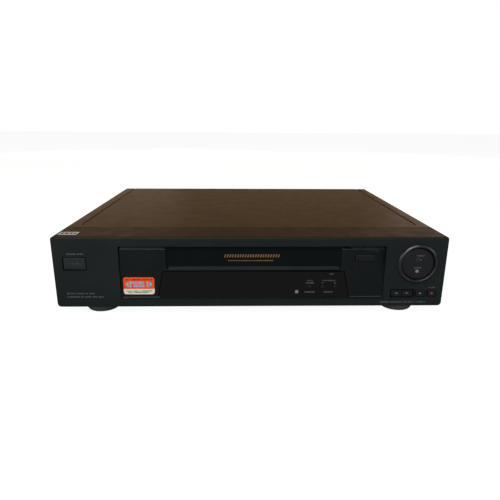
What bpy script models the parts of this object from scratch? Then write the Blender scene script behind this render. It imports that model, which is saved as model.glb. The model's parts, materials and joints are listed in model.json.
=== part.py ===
"""Video cassette recorder: casing, front controls, rear sockets and tape deck, each piece a solid.

Places are given by three measures: x to the right of the middle, depth behind the plane of the
fascia and height above the fascia's lower edge. Lengths are in metres.
"""

import math

import bmesh
import bpy
from mathutils import Matrix, Vector

# Fits and steps
FIT_GAP = 0.0003
CUT_OVERRUN = 0.002
PLANE_TOLERANCE = 0.000001
MERGE_DISTANCE = 0.00001
BUTTON_GAP = 0.0005
PRESS_TRAVEL = 0.0012
ARC_STEPS = 4
VISIBLE_TURN_STEPS = 36
HIDDEN_TURN_STEPS = 20
POST_SIDES = 8

# Whole body
BODY_WIDTH = 0.430
BODY_DEPTH = 0.338
BODY_HEIGHT = 0.0805
FOOT_HEIGHT = 0.009

# Fascia
FASCIA_DEPTH = 0.044
FASCIA_WALL = 0.0025
FASCIA_CORNER_RADIUS = 0.003
FASCIA_EDGE_ROUNDING = 0.0018
FASCIA_LIP_DEPTH = 0.012
BOSS_RADIUS = 0.002
BOSS_FROM_SIDE = 0.009
BOSS_FROM_PANEL = 0.005
LOW_BOSS_HEIGHT = 0.014
MIDDLE_BOSS_HEIGHT = 0.027
HIGH_BOSS_HEIGHT = 0.067

# Sheet metal casing
COVER_SHEET = 0.001
COVER_CORNER_RADIUS = 0.003
GROOVE_FROM_SIDE = 0.0157
GROOVE_WIDTH = 0.0014
GROOVE_SINK = 0.0005
GROOVE_START = 0.056
VENT_COUNT = 10
VENT_PITCH = 0.008
VENT_WIDTH = 0.0022
VENT_HEIGHT = 0.022
VENT_FOOT = 0.040
VENT_FROM_BACK = 0.035
BASE_SHEET = 0.001
BASE_RIM_HEIGHT = 0.008
REAR_SHEET = 0.0015
REAR_INSET = 0.001

# Feet
FOOT_TOP_RADIUS = 0.0195
FOOT_SOLE_RADIUS = 0.017
FOOT_SHOULDER = 0.003
FOOT_PEG_RADIUS = 0.0037
FOOT_PEG_HEIGHT = 0.003
FOOT_FROM_SIDE = 0.0445
FRONT_FOOT_DEPTH = 0.024
REAR_FOOT_FROM_BACK = 0.030

# Cassette that the machine takes
CASSETTE_WIDTH = 0.187
CASSETTE_HEIGHT = 0.025
REEL_SPACING = 0.092
REEL_FROM_LID = 0.060

# Centre panel, sunk and leaning back towards its top
CENTRE_SHIFT = 0.00255
TOP_STRIP = 0.0105
SHADOW_GAP = 0.0015
PANEL_FOOT_HEIGHT = 0.0094
LEFT_BLOCK_SHARE = 0.4177
ROCKER_TO_PANEL = 0.01385
PANEL_RECESS = 0.0004
LEAN_SHARE = 0.036
PANEL_THICKNESS = 0.0035
PANEL_CHAMFER = 0.0026
PANEL_CORNER_RADIUS = 0.0012
LIP_HEIGHT = 0.0008
LIP_REACH = 0.0016
SILL_BAR_HEIGHT = 0.0045
SILL_BAR_FRONT = 0.0044
SILL_BAR_BACK = 0.0090
FOOT_BAR_HEIGHT = 0.0028
FOOT_BAR_FRONT = 0.0033
FOOT_BAR_BACK = 0.0062
BAR_REACH = 0.006
CHEEK_WIDTH = 0.0022
CHEEK_FOOT_DROP = 0.010
CHEEK_RISE = 0.0024
CHEEK_FRONT = 0.0034
CHEEK_BACK = 0.0080

# Cassette door and its hinge
DOOR_SIDE_ROOM = 0.00195
DOOR_EXTRA_HEIGHT = 0.002
DOOR_TOP_GAP = 0.001
DOOR_THICKNESS = 0.0018
DOOR_BORDER = 0.0048
DOOR_DISH = 0.0007
SILL_DROP = 0.0008
PIVOT_RISE = 0.0018
PIVOT_DEPTH = 0.0054
PIN_RADIUS = 0.001
PIN_PLAY = 0.0004
EAR_WIDTH = 0.003
EAR_DROP = 0.003
EAR_REACH = 0.0010
SPRING_PIN_REACH = 0.0065
SPRING_WIRE_RADIUS = 0.00022
SPRING_TURNS = 4
SPRING_PITCH = 0.0009
SPRING_POINTS = 8
SPRING_LEG = 0.004

# Display window and what stands behind it
WINDOW_FOOT_HEIGHT = 0.0112
WINDOW_TOP_OVERHANG = 0.0047
WINDOW_FLARE = 0.0060
WINDOW_THICKNESS = 0.002
BOARD_DEPTH = 0.012
BOARD_THICKNESS = 0.0016
FRONT_BOARD_FOOT = 0.008
FRONT_BOARD_TOP = 0.035
FRONT_BOARD_END_GAP = 0.003
TAB_MARGIN = 0.004
LEFT_TAB_TOP = 0.062
RIGHT_TAB_TOP = 0.070
SWITCH_SIZE = 0.006
SWITCH_HEIGHT = 0.003
TUBE_LEFT = -0.062
TUBE_WIDTH = 0.104
TUBE_FOOT = 0.0145
TUBE_HEIGHT = 0.0195
TUBE_FRONT = 0.0055

# Buttons
BUTTON_BACK = 0.0075
BUTTON_SOFTENING = 0.0004
POWER_FROM_SIDE = 0.0114
POWER_WIDTH = 0.0246
POWER_FOOT = 0.0437
POWER_HEIGHT = 0.0143
POWER_SINK = 0.0003
EJECT_START_SHARE = 0.331
EJECT_WIDTH_SHARE = 0.427
EJECT_DROP = 0.0084
EJECT_HEIGHT = 0.0069
EJECT_FACE_DEPTH = 0.0014
ROUND_BUTTON_RADIUS = 0.00225
ROUND_BUTTON_HEIGHT = 0.0229
ROUND_BUTTON_FACE_DEPTH = 0.0008
ROUND_BUTTON_FROM_DOOR_SIDE = 0.0332
ROUND_BUTTON_PITCH = 0.0140
KEY_FOOT = 0.0113
KEY_HEIGHT = 0.0083
WIND_FROM_SIDE = 0.0589
WIND_WIDTH = 0.0250
WIND_SINK = 0.0006
PAUSE_FROM_SIDE = 0.0314
PAUSE_WIDTH = 0.0113
RECORD_FROM_SIDE = 0.0178
RECORD_WIDTH = 0.0101

# Play and stop rocker
ROCKER_FROM_SIDE = 0.0319
ROCKER_HEIGHT = 0.0500
RING_RADIUS = 0.02225
RING_CREST_RADIUS = 0.0203
RING_PROUD = 0.002
RING_SHOULDER = 0.0002
RING_INNER_EDGE = 0.0008
RING_BACK = 0.0032
DISC_RADIUS = 0.01765
DISC_RIM_PROUD = 0.0003
DISC_CROWN = 0.0005
DISC_CROWN_RADIUS = 0.0160
DISC_PLAY = 0.00035
DISC_BACK = 0.0026
DISC_POST_RADIUS = 0.002
DISC_POST_OFFSET = 0.0085

# Cassette holder, its carriage and the brackets that guide it
HOLDER_SIDE_PLAY = 0.0008
HOLDER_HEAD_PLAY = 0.0004
HOLDER_SHEET = 0.001
HOLDER_LENGTH = 0.042
LEDGE_WIDTH = 0.008
LEDGE_REACH = 0.016
LEDGE_SHEET = 0.001
STOP_TAB_WIDTH = 0.010
STOP_TAB_HEIGHT = 0.013
STOP_INSET = 0.002
LABEL_WINDOW_WIDTH = 0.090
LABEL_WINDOW_LENGTH = 0.020
SLIDE_GAP = 0.0006
CARRIAGE_SHEET = 0.0012
CARRIAGE_FOOT_HEIGHT = 0.033
CARRIAGE_HEAD_GAP = 0.0019
BRIDGE_LENGTH = 0.016
LIFT_PIN_RADIUS = 0.0015
LIFT_PIN_HEIGHT = 0.0542
LIFT_PIN_FROM_END = 0.008
GUIDE_PIN_HEIGHT = 0.0620
GUIDE_PIN_FROM_END = 0.005
SLOT_PLAY = 0.0003
CARRIAGE_TRAVEL = 0.056
LOWERED_CLEARANCE = 0.0065
DOOR_SWING_CLEARANCE = 0.0016
BRACKET_SHEET = 0.0015
BRACKET_FLANGE = 0.007
BRACKET_HEIGHT = 0.0466
BRACKET_OVERLAP = 0.006
CARRIAGE_GEAR_RADIUS = 0.005
CARRIAGE_GEAR_AHEAD = 0.020
CARRIAGE_AXLE_RADIUS = 0.0015
CARRIAGE_AXLE_REACH = 0.0030

# Deck chassis
DECK_FRONT = 0.022
DECK_TOP_HEIGHT = 0.0192
DECK_SHEET = 0.0012
DECK_EDGE = 0.004
DECK_SKIRT = 0.006
DECK_REAR_MARGIN = 0.013
DECK_POST_RADIUS = 0.003
DECK_POST_FROM_END = 0.009
DECK_POST_FROM_SIDE = 0.0062
AXLE_RADIUS = 0.0015
AXLE_PLAY = 0.0003
AXLE_FREE_END = 0.002

# Head drum
DRUM_RADIUS = 0.031
DRUM_CLEARANCE = 0.008
DRUM_SHIFT = 0.0045
DRUM_TILT_DEGREES = 5
LOWER_DRUM_HEIGHT = 0.0135
DRUM_SPLIT = 0.0004
UPPER_DRUM_HEIGHT = 0.0125
DRUM_HUB_RADIUS = 0.012
DRUM_HUB_HEIGHT = 0.004
DRUM_SHAFT_RADIUS = 0.003

# Capstan and pinch roller
CAPSTAN_ASIDE = 0.060
CAPSTAN_AHEAD = 0.035
CAPSTAN_SHAFT_RADIUS = 0.0015
CAPSTAN_TOP_HEIGHT = 0.041
FLYWHEEL_RADIUS = 0.020
FLYWHEEL_FOOT_HEIGHT = 0.0094
FLYWHEEL_THICKNESS = 0.004
STATOR_RADIUS = 0.014
BEARING_RADIUS = 0.004
PINCH_PIVOT_ASIDE = 0.020
PINCH_PIVOT_BEHIND = 0.014
PINCH_ARM_LENGTH = 0.022
PINCH_OPEN_DEGREES = 30
PINCH_ROLLER_RADIUS = 0.0065
PINCH_ROLLER_HEIGHT = 0.014
PINCH_TOUCH_GAP = 0.00035
ARM_THICKNESS = 0.0016
ARM_HALF_WIDTH = 0.0035

# Reels and the idler between them
REEL_TABLE_RADIUS = 0.019
REEL_TABLE_THICKNESS = 0.0058
SPINDLE_RADIUS = 0.0055
SPINDLE_TOP_HEIGHT = 0.037
IDLER_ARM_LENGTH = 0.030
IDLER_PIVOT_AHEAD = 0.024
IDLER_GEAR_RADIUS = 0.014
IDLER_GEAR_THICKNESS = 0.003

# Tape guides, heads and tension arm, placed from the drum's axis
GUIDE_START_ASIDE = 0.028
GUIDE_START_AHEAD = 0.047
GUIDE_END_ASIDE = 0.048
GUIDE_END_BEHIND = 0.001
GUIDE_SLOT_HALF_WIDTH = 0.0025
GUIDE_BASE_SIZE = 0.010
GUIDE_BASE_THICKNESS = 0.0035
GUIDE_POST_RADIUS = 0.0028
GUIDE_TOP_HEIGHT = 0.0405
AUDIO_HEAD_ASIDE = 0.064
AUDIO_HEAD_BEHIND = 0.002
ERASE_HEAD_ASIDE = 0.064
ERASE_HEAD_AHEAD = 0.021
HEAD_WIDTH = 0.010
HEAD_LENGTH = 0.007
HEAD_HEIGHT = 0.017
HEAD_PLATE_SIZE = 0.013
HEAD_PLATE_THICKNESS = 0.0015
TENSION_PIVOT_ASIDE = 0.072
TENSION_PIVOT_AHEAD = 0.063
TENSION_ARM_LENGTH = 0.026
TENSION_REST_DEGREES = 20
TENSION_POST_RADIUS = 0.0016

# Loading motor, pinion and cam gear
CAM_GEAR_ASIDE = 0.090
CAM_GEAR_BEHIND = 0.019
CAM_GEAR_RADIUS = 0.020
CAM_GEAR_THICKNESS = 0.004
PINION_RADIUS = 0.005
PINION_BEARING_DEGREES = 152
MOTOR_RADIUS = 0.010
MOTOR_HEIGHT = 0.021
MOTOR_SHAFT_RADIUS = 0.001
MOTOR_PLATE_REACH = 0.013
MOTOR_PLATE_HALF_DEPTH = 0.006
MOTOR_PLATE_THICKNESS = 0.0014
MOTOR_LEG_THICKNESS = 0.0028

# Circuit boards and what stands on them
FLOOR_BOARD_HEIGHT = 0.006
BOARD_POST_RADIUS = 0.0025
BOARD_EDGE_GAP = 0.005
BOARD_POST_INSET = 0.008
MAIN_BOARD_HALF_WIDTH = 0.100
MAIN_BOARD_FRONT = 0.060
MAIN_BOARD_STEP_FROM_BACK = 0.113
BOARD_FROM_BACK = 0.006
POWER_BOARD_SHARE = 0.908
CHIP_HEIGHT = 0.003
CHIP_SIZE = 0.022
TRANSFORMER_PLACE_SHARE = 0.466
TRANSFORMER_DEPTH = 0.115
TRANSFORMER_WIDTH_SHARE = 0.391
TRANSFORMER_LENGTH = 0.038
TRANSFORMER_HEIGHT = 0.034
TRANSFORMER_YOKE = 0.008
HEAT_SINK_PLACE_SHARE = 0.727
HEAT_SINK_DEPTH = 0.175
HEAT_SINK_HEIGHT = 0.034
HEAT_SINK_BACK = 0.003
FIN_COUNT = 5
FIN_THICKNESS = 0.0015
FIN_PITCH = 0.0045
FIN_REACH = 0.012
CAPACITOR_PLACE_SHARE = 0.280
CAPACITOR_DEPTH = 0.200
CAPACITOR_RADIUS = 0.011
CAPACITOR_HEIGHT = 0.032

# Rear sockets
SOCKET_PROUD = 0.009
INLET_FROM_SIDE = 0.036
INLET_WIDTH = 0.028
INLET_HEIGHT = 0.020
INLET_LENGTH = 0.020
INLET_RECESS_WIDTH = 0.0154
INLET_RECESS_HEIGHT = 0.0090
INLET_RECESS_LENGTH = 0.012
INLET_ROUND_SHARE = 0.9
INLET_PROUD = 0.0012
TUNER_FROM_SIDE = 0.043
TUNER_WIDTH = 0.044
TUNER_LENGTH = 0.060
TUNER_HEIGHT = 0.039
AERIAL_RADIUS = 0.00475
AERIAL_INNER_RADIUS = 0.0013
AERIAL_BORE_LENGTH = 0.007
AERIAL_LOW_HEIGHT = 0.0185
AERIAL_PITCH = 0.0170
AV_SOCKET_WIDTH = 0.050
AV_SOCKET_HEIGHT = 0.0165
AV_SOCKET_LENGTH = 0.026
AV_SOCKET_PROUD = 0.0010
AV_SOCKET_CHAMFER = 0.006
AV_SOCKET_FROM_SIDE = 0.115
AV_SOCKET_PITCH = 0.056
JACK_FROM_SIDE = 0.233
JACK_WIDTH = 0.032
JACK_HEIGHT = 0.0155
JACK_LENGTH = 0.020
JACK_RADIUS = 0.0042
JACK_BORE_RADIUS = 0.0017
JACK_BORE_LENGTH = 0.006
JACK_PROUD = 0.007
JACK_PITCH = 0.015

# Worked out from the sizes above
HALF_WIDTH = BODY_WIDTH / 2
FRONT_Y = (RING_PROUD - BODY_DEPTH - SOCKET_PROUD) / 2
OPENING_TOP = BODY_HEIGHT - TOP_STRIP
PANEL_TOP = OPENING_TOP - SHADOW_GAP
DOOR_HALF_WIDTH = CASSETTE_WIDTH / 2 + DOOR_SIDE_ROOM
DOOR_LEFT = CENTRE_SHIFT - DOOR_HALF_WIDTH
DOOR_RIGHT = CENTRE_SHIFT + DOOR_HALF_WIDTH
DOOR_TOP = OPENING_TOP - DOOR_TOP_GAP
DOOR_FOOT = DOOR_TOP - CASSETTE_HEIGHT - DOOR_EXTRA_HEIGHT
PIVOT_HEIGHT = DOOR_TOP + PIVOT_RISE
SILL_HEIGHT = DOOR_FOOT - SILL_DROP
PANEL_LEFT = DOOR_LEFT - (HALF_WIDTH + DOOR_LEFT) * LEFT_BLOCK_SHARE
PANEL_RIGHT = HALF_WIDTH - ROCKER_FROM_SIDE - RING_RADIUS - ROCKER_TO_PANEL
RIGHT_BLOCK_WIDTH = PANEL_RIGHT - DOOR_RIGHT

HOLDER_HALF_INSIDE = CASSETTE_WIDTH / 2 + HOLDER_SIDE_PLAY
HOLDER_HALF_WIDTH = HOLDER_HALF_INSIDE + HOLDER_SHEET
HOLDER_FLOOR = DOOR_FOOT - FIT_GAP
HOLDER_CEILING = HOLDER_FLOOR + CASSETTE_HEIGHT + HOLDER_HEAD_PLAY
HOLDER_DROP = HOLDER_FLOOR - LEDGE_SHEET - DECK_TOP_HEIGHT - LOWERED_CLEARANCE
CARRIAGE_HALF_INSIDE = HOLDER_HALF_WIDTH + SLIDE_GAP
CARRIAGE_HALF_WIDTH = CARRIAGE_HALF_INSIDE + CARRIAGE_SHEET
BRACKET_HALF_INSIDE = CARRIAGE_HALF_WIDTH + SLIDE_GAP
BRACKET_HALF_OUTSIDE = BRACKET_HALF_INSIDE + BRACKET_SHEET
DECK_HALF_WIDTH = BRACKET_HALF_OUTSIDE + BRACKET_FLANGE + DECK_EDGE
LIFT_SLOT_HALF_WIDTH = LIFT_PIN_RADIUS + SLOT_PLAY


def door_face_depth(height):
    """Depth of the centre panel's front face, which leans back as it rises."""
    return PANEL_RECESS + LEAN_SHARE * height


DOOR_SWEEP = math.hypot(PIVOT_DEPTH - door_face_depth(DOOR_FOOT), PIVOT_HEIGHT - DOOR_FOOT)
HOLDER_FRONT = PIVOT_DEPTH + DOOR_SWEEP + DOOR_SWING_CLEARANCE
HOLDER_BACK = HOLDER_FRONT + HOLDER_LENGTH
LID_LOADED = HOLDER_BACK - STOP_INSET + CARRIAGE_TRAVEL
REEL_DEPTH = LID_LOADED - REEL_FROM_LID
DRUM_X = CENTRE_SHIFT - DRUM_SHIFT
DRUM_DEPTH = LID_LOADED + DRUM_CLEARANCE + DRUM_RADIUS
DECK_BACK = DRUM_DEPTH + DRUM_RADIUS + DECK_REAR_MARGIN
CAPSTAN_X = DRUM_X + CAPSTAN_ASIDE
CAPSTAN_DEPTH = DRUM_DEPTH - CAPSTAN_AHEAD
CAM_X = DRUM_X + CAM_GEAR_ASIDE
CAM_DEPTH = DRUM_DEPTH + CAM_GEAR_BEHIND
ARM_FOOT_HEIGHT = DECK_TOP_HEIGHT + FIT_GAP
ARM_TOP_HEIGHT = ARM_FOOT_HEIGHT + ARM_THICKNESS
WHEEL_FOOT_HEIGHT = ARM_TOP_HEIGHT + FIT_GAP
BEARING_TOP_HEIGHT = ARM_TOP_HEIGHT
BORE_RADIUS = AXLE_RADIUS + AXLE_PLAY
BOARD_TOP_HEIGHT = FLOOR_BOARD_HEIGHT + BOARD_THICKNESS
STANDING_HEIGHT = BOARD_TOP_HEIGHT + FIT_GAP
COVER_INSIDE_HALF = HALF_WIDTH - COVER_SHEET - FIT_GAP
BASE_HALF_WIDTH = HALF_WIDTH - FASCIA_WALL - FIT_GAP
REAR_FACE = BODY_DEPTH - REAR_INSET
REAR_INNER_FACE = REAR_FACE - REAR_SHEET
BOARD_BACK = BODY_DEPTH - BOARD_FROM_BACK
BOARD_SIDE = HALF_WIDTH - FASCIA_WALL - BOARD_EDGE_GAP
SIDE_ROOM = HALF_WIDTH + CENTRE_SHIFT - DECK_HALF_WIDTH
POWER_BOARD_RIGHT = SIDE_ROOM * POWER_BOARD_SHARE - HALF_WIDTH
SWITCH_FACE = BOARD_DEPTH - SWITCH_HEIGHT

# Finishes: colour, roughness, metallic
FASCIA_BLACK = ((0.013, 0.016, 0.016), 0.46, 0.0)
PANEL_BLACK = ((0.009, 0.011, 0.012), 0.42, 0.0)
BUTTON_BLACK = ((0.020, 0.023, 0.024), 0.45, 0.0)
SMOKED_BLACK = ((0.006, 0.005, 0.007), 0.08, 0.0)
GLOSS_BLACK = ((0.016, 0.016, 0.020), 0.18, 0.0)
COVER_BROWN = ((0.050, 0.036, 0.026), 0.38, 0.2)
FOOT_GREY = ((0.060, 0.055, 0.052), 0.70, 0.0)
ZINC_STEEL = ((0.55, 0.55, 0.54), 0.35, 1.0)
MACHINED_ALLOY = ((0.72, 0.72, 0.73), 0.22, 1.0)
POLISHED_STEEL = ((0.66, 0.66, 0.67), 0.12, 1.0)
BOARD_BROWN = ((0.24, 0.13, 0.05), 0.55, 0.0)
GEAR_WHITE = ((0.72, 0.71, 0.66), 0.42, 0.0)
GEAR_BLACK = ((0.025, 0.025, 0.026), 0.48, 0.0)
ROLLER_RUBBER = ((0.022, 0.022, 0.024), 0.80, 0.0)
TUBE_GLASS = ((0.05, 0.09, 0.09), 0.06, 0.0)
IRON_GREY = ((0.13, 0.12, 0.11), 0.50, 0.6)
SINK_ALLOY = ((0.40, 0.40, 0.41), 0.40, 1.0)
SLEEVE_BLUE = ((0.03, 0.05, 0.11), 0.40, 0.0)


def clear_scene():
    """Takes away whatever the file opened with."""
    for thing in list(bpy.data.objects):
        bpy.data.objects.remove(thing)


def new_collection(name):
    """A collection in the scene."""
    made = bpy.data.collections.new(name)
    bpy.context.scene.collection.children.link(made)
    return made


clear_scene()
RECORDER = new_collection("video_cassette_recorder")
CUTTERS = new_collection("cutters")


def at(x, depth, height):
    """The world point of a place on the machine."""
    return Vector((x, FRONT_Y + depth, FOOT_HEIGHT + height))


def finish(thing, look):
    """Gives a piece its own Principled material."""
    colour, roughness, metallic = look
    material = bpy.data.materials.new(thing.name)
    material.use_nodes = True
    shader = material.node_tree.nodes["Principled BSDF"]
    shader.inputs["Base Color"].default_value = (*colour, 1)
    shader.inputs["Roughness"].default_value = roughness
    shader.inputs["Metallic"].default_value = metallic
    thing.data.materials.append(material)
    return thing


def place(name, mesh, origin, look):
    """Makes an object of a mesh: a piece when it has a look, or else a hidden tool."""
    thing = bpy.data.objects.new(name, mesh)
    thing.location = origin
    if look is None:
        CUTTERS.objects.link(thing)
        thing.hide_render = True
        thing.display_type = "WIRE"
        return thing
    RECORDER.objects.link(thing)
    return finish(thing, look)


def mesh_of(name, shape):
    """Turns a bmesh into a mesh, with round sides shaded smooth."""
    mesh = bpy.data.meshes.new(name)
    shape.to_mesh(mesh)
    shape.free()
    mesh.shade_smooth()
    mesh.set_sharp_from_angle(angle=math.radians(35))
    return mesh


def boxes(name, spans, origin=None, look=None):
    """One or more upright boxes, each from its spans in x, depth and height."""
    shape = bmesh.new()
    if origin is None:
        first = spans[0]
        origin = at(*(sum(span) / 2 for span in first))
    for across, inward, upward in spans:
        low = at(across[0], inward[0], upward[0])
        high = at(across[1], inward[1], upward[1])
        stretch = Matrix.Translation((low + high) / 2 - origin) @ Matrix.Diagonal((*(high - low), 1))
        bmesh.ops.create_cube(shape, size=1, matrix=stretch)
    return place(name, mesh_of(name, shape), origin, look)


def rods(name, runs, origin=None, look=None, sides=HIDDEN_TURN_STEPS):
    """One or more round bars, each from its radius, start and end."""
    shape = bmesh.new()
    if origin is None:
        origin = runs[0][1]
    for radius, start, end in runs:
        along = end - start
        turn = along.to_track_quat("Z", "Y").to_matrix().to_4x4()
        bmesh.ops.create_cone(
            shape,
            cap_ends=True,
            segments=sides,
            radius1=radius,
            radius2=radius,
            depth=along.length,
            matrix=Matrix.Translation((start + end) / 2 - origin) @ turn,
        )
    return place(name, mesh_of(name, shape), origin, look)


def turned(name, profile, origin, look=None, steps=HIDDEN_TURN_STEPS, bored=False, forward=False):
    """A turned shape from (radius, height) points that run down its outer side.

    A bored profile is a closed loop. A forward one is turned about the line to the viewer.
    """
    shape = bmesh.new()
    corners = [shape.verts.new((radius, 0, height)) for radius, height in profile]
    for first, second in zip(corners, corners[1:]):
        shape.edges.new((first, second))
    if bored:
        shape.edges.new((corners[-1], corners[0]))
    mesh = bpy.data.meshes.new(name)
    shape.to_mesh(mesh)
    shape.free()
    thing = place(name, mesh, origin, look)
    screw = thing.modifiers.new("turn", "SCREW")
    screw.axis = "Z"
    screw.steps = steps
    screw.render_steps = steps
    screw.use_merge_vertices = True
    screw.merge_threshold = MERGE_DISTANCE
    if forward:
        thing.rotation_euler.x = math.radians(90)
    return thing


def outline_mesh(name, corners, thickness):
    """A flat outline of local x and y points, made solid by half its thickness each way."""
    curve = bpy.data.curves.new(name, "CURVE")
    curve.dimensions = "2D"
    curve.fill_mode = "BOTH"
    curve.extrude = thickness / 2
    spline = curve.splines.new("POLY")
    spline.points.add(len(corners) - 1)
    for point, (across, up) in zip(spline.points, corners):
        point.co = (across, up, 0, 1)
    spline.use_cyclic_u = True
    drawn = bpy.data.objects.new(name, curve)
    CUTTERS.objects.link(drawn)
    graph = bpy.context.evaluated_depsgraph_get()
    mesh = bpy.data.meshes.new_from_object(drawn.evaluated_get(graph))
    bpy.data.objects.remove(drawn)
    bpy.data.curves.remove(curve)
    shape = bmesh.new()
    shape.from_mesh(mesh)
    bpy.data.meshes.remove(mesh)
    bmesh.ops.remove_doubles(shape, verts=shape.verts, dist=PLANE_TOLERANCE)
    bmesh.ops.dissolve_limit(
        shape, angle_limit=math.radians(1), verts=shape.verts, edges=shape.edges
    )
    bmesh.ops.recalc_face_normals(shape, faces=shape.faces)
    return shape


OUTLINE_TURNS = {
    "front": Matrix(((1, 0, 0), (0, 0, -1), (0, 1, 0))).to_4x4(),
    "side": Matrix(((0, 0, 1), (1, 0, 0), (0, 1, 0))).to_4x4(),
    "plan": Matrix.Identity(4),
}


def outline(name, corners, view, span, origin=None, look=None):
    """A solid of one outline, drawn in the front, side or plan view and carried over a span.

    Front corners are x and height, side corners depth and height, and plan corners x and depth.
    The span is in depth, x or height.
    """
    middle = sum(span) / 2
    shape = outline_mesh(name, corners, span[1] - span[0])
    shape.transform(OUTLINE_TURNS[view])
    seat = {"front": at(0, middle, 0), "side": at(middle, 0, 0), "plan": at(0, 0, middle)}[view]
    if origin is None:
        origin = seat
    shape.transform(Matrix.Translation(seat - origin))
    return place(name, mesh_of(name, shape), origin, look)


def rounded(corners):
    """Outline points of corners given as across, up and radius, each rounded by an arc.

    Each arc is centred where both sides lie one radius away, and swept in even steps.
    """
    points = []
    count = len(corners)
    for index, (across, up, radius) in enumerate(corners):
        corner = Vector((across, up))
        if radius <= 0:
            points.append(tuple(corner))
            continue
        before = (Vector(corners[index - 1][:2]) - corner).normalized()
        after = (Vector(corners[(index + 1) % count][:2]) - corner).normalized()
        half_angle = before.angle(after) / 2
        centre = corner + (before + after).normalized() * (radius / math.sin(half_angle))
        reach = radius / math.tan(half_angle)
        start = corner + before * reach - centre
        sweep = start.angle_signed(corner + after * reach - centre)
        for step in range(ARC_STEPS + 1):
            turn = Matrix.Rotation(-sweep * step / ARC_STEPS, 2)
            points.append(tuple(centre + turn @ start))
    return points


def rectangle(left, right, foot, top, radius=0):
    """A rectangle with its corners rounded."""
    return rounded([(left, foot, radius), (right, foot, radius), (right, top, radius), (left, top, radius)])


def stadium(start, end, half_width):
    """A bar with round ends, from one centre to another."""
    start = Vector(start)
    end = Vector(end)
    heading = math.atan2(end.y - start.y, end.x - start.x)
    points = []
    for centre, turn in ((start, math.pi / 2), (end, -math.pi / 2)):
        for step in range(2 * ARC_STEPS + 1):
            angle = heading + turn + math.pi * step / (2 * ARC_STEPS)
            points.append((centre.x + half_width * math.cos(angle), centre.y + half_width * math.sin(angle)))
    return points


def change(target, operation, tools):
    """Adds a Boolean to a piece for each tool."""
    for tool in tools:
        step = target.modifiers.new(tool.name, "BOOLEAN")
        step.operation = operation
        step.object = tool
    return target


def cut(target, *tools):
    """Cuts tools out of a piece."""
    return change(target, "DIFFERENCE", tools)


def join(target, *tools):
    """Joins tools to a piece."""
    return change(target, "UNION", tools)


def soften(target, width, chosen, segments=1):
    """Bevels the edges whose two ends chosen picks by their world places."""
    shape = bmesh.new()
    shape.from_mesh(target.data)
    picked = [
        edge
        for edge in shape.edges
        if all(chosen(vertex.co + target.location) for vertex in edge.verts)
    ]
    bmesh.ops.bevel(shape, geom=picked, offset=width, segments=segments, profile=0.5, affect="EDGES")
    shape.to_mesh(target.data)
    shape.free()
    return target


def on_front(depth):
    """A test for points on the plane at a depth."""
    plane = at(0, depth, 0).y
    return lambda point: abs(point.y - plane) < PLANE_TOLERANCE


def lean(target):
    """Leans a piece back with the centre panel: each point moves in by its height's share."""
    shear = Matrix.Identity(4)
    shear[1][2] = LEAN_SHARE
    rise = target.location.z - FOOT_HEIGHT
    target.data.transform(Matrix.Translation((0, LEAN_SHARE * rise, 0)) @ shear)
    return target


def make_fascia():
    """The moulded front, hollow from behind, with its openings."""
    fascia = outline(
        "front_fascia",
        rectangle(-HALF_WIDTH, HALF_WIDTH, 0, BODY_HEIGHT, FASCIA_CORNER_RADIUS),
        "front",
        (0, FASCIA_DEPTH),
        look=FASCIA_BLACK,
    )
    soften(fascia, FASCIA_EDGE_ROUNDING, on_front(0), segments=2)
    inner_radius = max(FASCIA_CORNER_RADIUS - FASCIA_WALL, 0)
    inner_half = HALF_WIDTH - FASCIA_WALL
    hollow = outline(
        "fascia_hollow",
        rectangle(-inner_half, inner_half, FASCIA_WALL, BODY_HEIGHT - FASCIA_WALL, inner_radius),
        "front",
        (FASCIA_WALL, FASCIA_DEPTH + CUT_OVERRUN),
    )
    underside = boxes(
        "fascia_underside",
        [
            (
                (-inner_half, inner_half),
                (FASCIA_LIP_DEPTH, FASCIA_DEPTH + CUT_OVERRUN),
                (-CUT_OVERRUN, FASCIA_WALL + CUT_OVERRUN),
            )
        ],
    )
    through = (-CUT_OVERRUN, FASCIA_WALL + CUT_OVERRUN)
    corners = [
        (PANEL_LEFT, PANEL_FOOT_HEIGHT, 0),
        (PANEL_RIGHT, PANEL_FOOT_HEIGHT, 0),
        (PANEL_RIGHT, OPENING_TOP, PANEL_CORNER_RADIUS),
        (PANEL_LEFT, OPENING_TOP, PANEL_CORNER_RADIUS),
    ]
    panel_hole = outline("panel_hole", rounded(corners), "front", through)
    holes = [(across, through, upward) for across, upward in fascia_holes().values()]
    keys = boxes("key_holes", holes)
    rocker = rocker_axis(0)
    ring_hole = rods(
        "ring_hole",
        [
            (
                RING_RADIUS + FIT_GAP,
                rocker + Vector((0, -CUT_OVERRUN, 0)),
                rocker + Vector((0, FASCIA_WALL + CUT_OVERRUN, 0)),
            )
        ],
        sides=VISIBLE_TURN_STEPS,
    )
    bosses = []
    for x, height in boss_places():
        ends = at(x, FASCIA_WALL / 2, height), at(x, BOARD_DEPTH - FIT_GAP, height)
        bosses.append((BOSS_RADIUS, *ends))
    cut(fascia, hollow, underside, panel_hole, keys, ring_hole)
    join(fascia, rods("board_bosses", bosses, sides=POST_SIDES))


def boss_places():
    """Where the fascia carries the control board, in x and height."""
    side = HALF_WIDTH - BOSS_FROM_SIDE
    return [
        (-side, LOW_BOSS_HEIGHT),
        (PANEL_LEFT - BOSS_FROM_PANEL, LOW_BOSS_HEIGHT),
        (PANEL_RIGHT + BOSS_FROM_PANEL, HIGH_BOSS_HEIGHT),
        (side, MIDDLE_BOSS_HEIGHT),
        (side, HIGH_BOSS_HEIGHT),
    ]


def widened(span):
    """A button's span with its running gap on both sides."""
    return (span[0] - BUTTON_GAP, span[1] + BUTTON_GAP)


def inset(span):
    """A hole's span less the running gap on both sides."""
    return (span[0] + BUTTON_GAP, span[1] - BUTTON_GAP)


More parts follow.
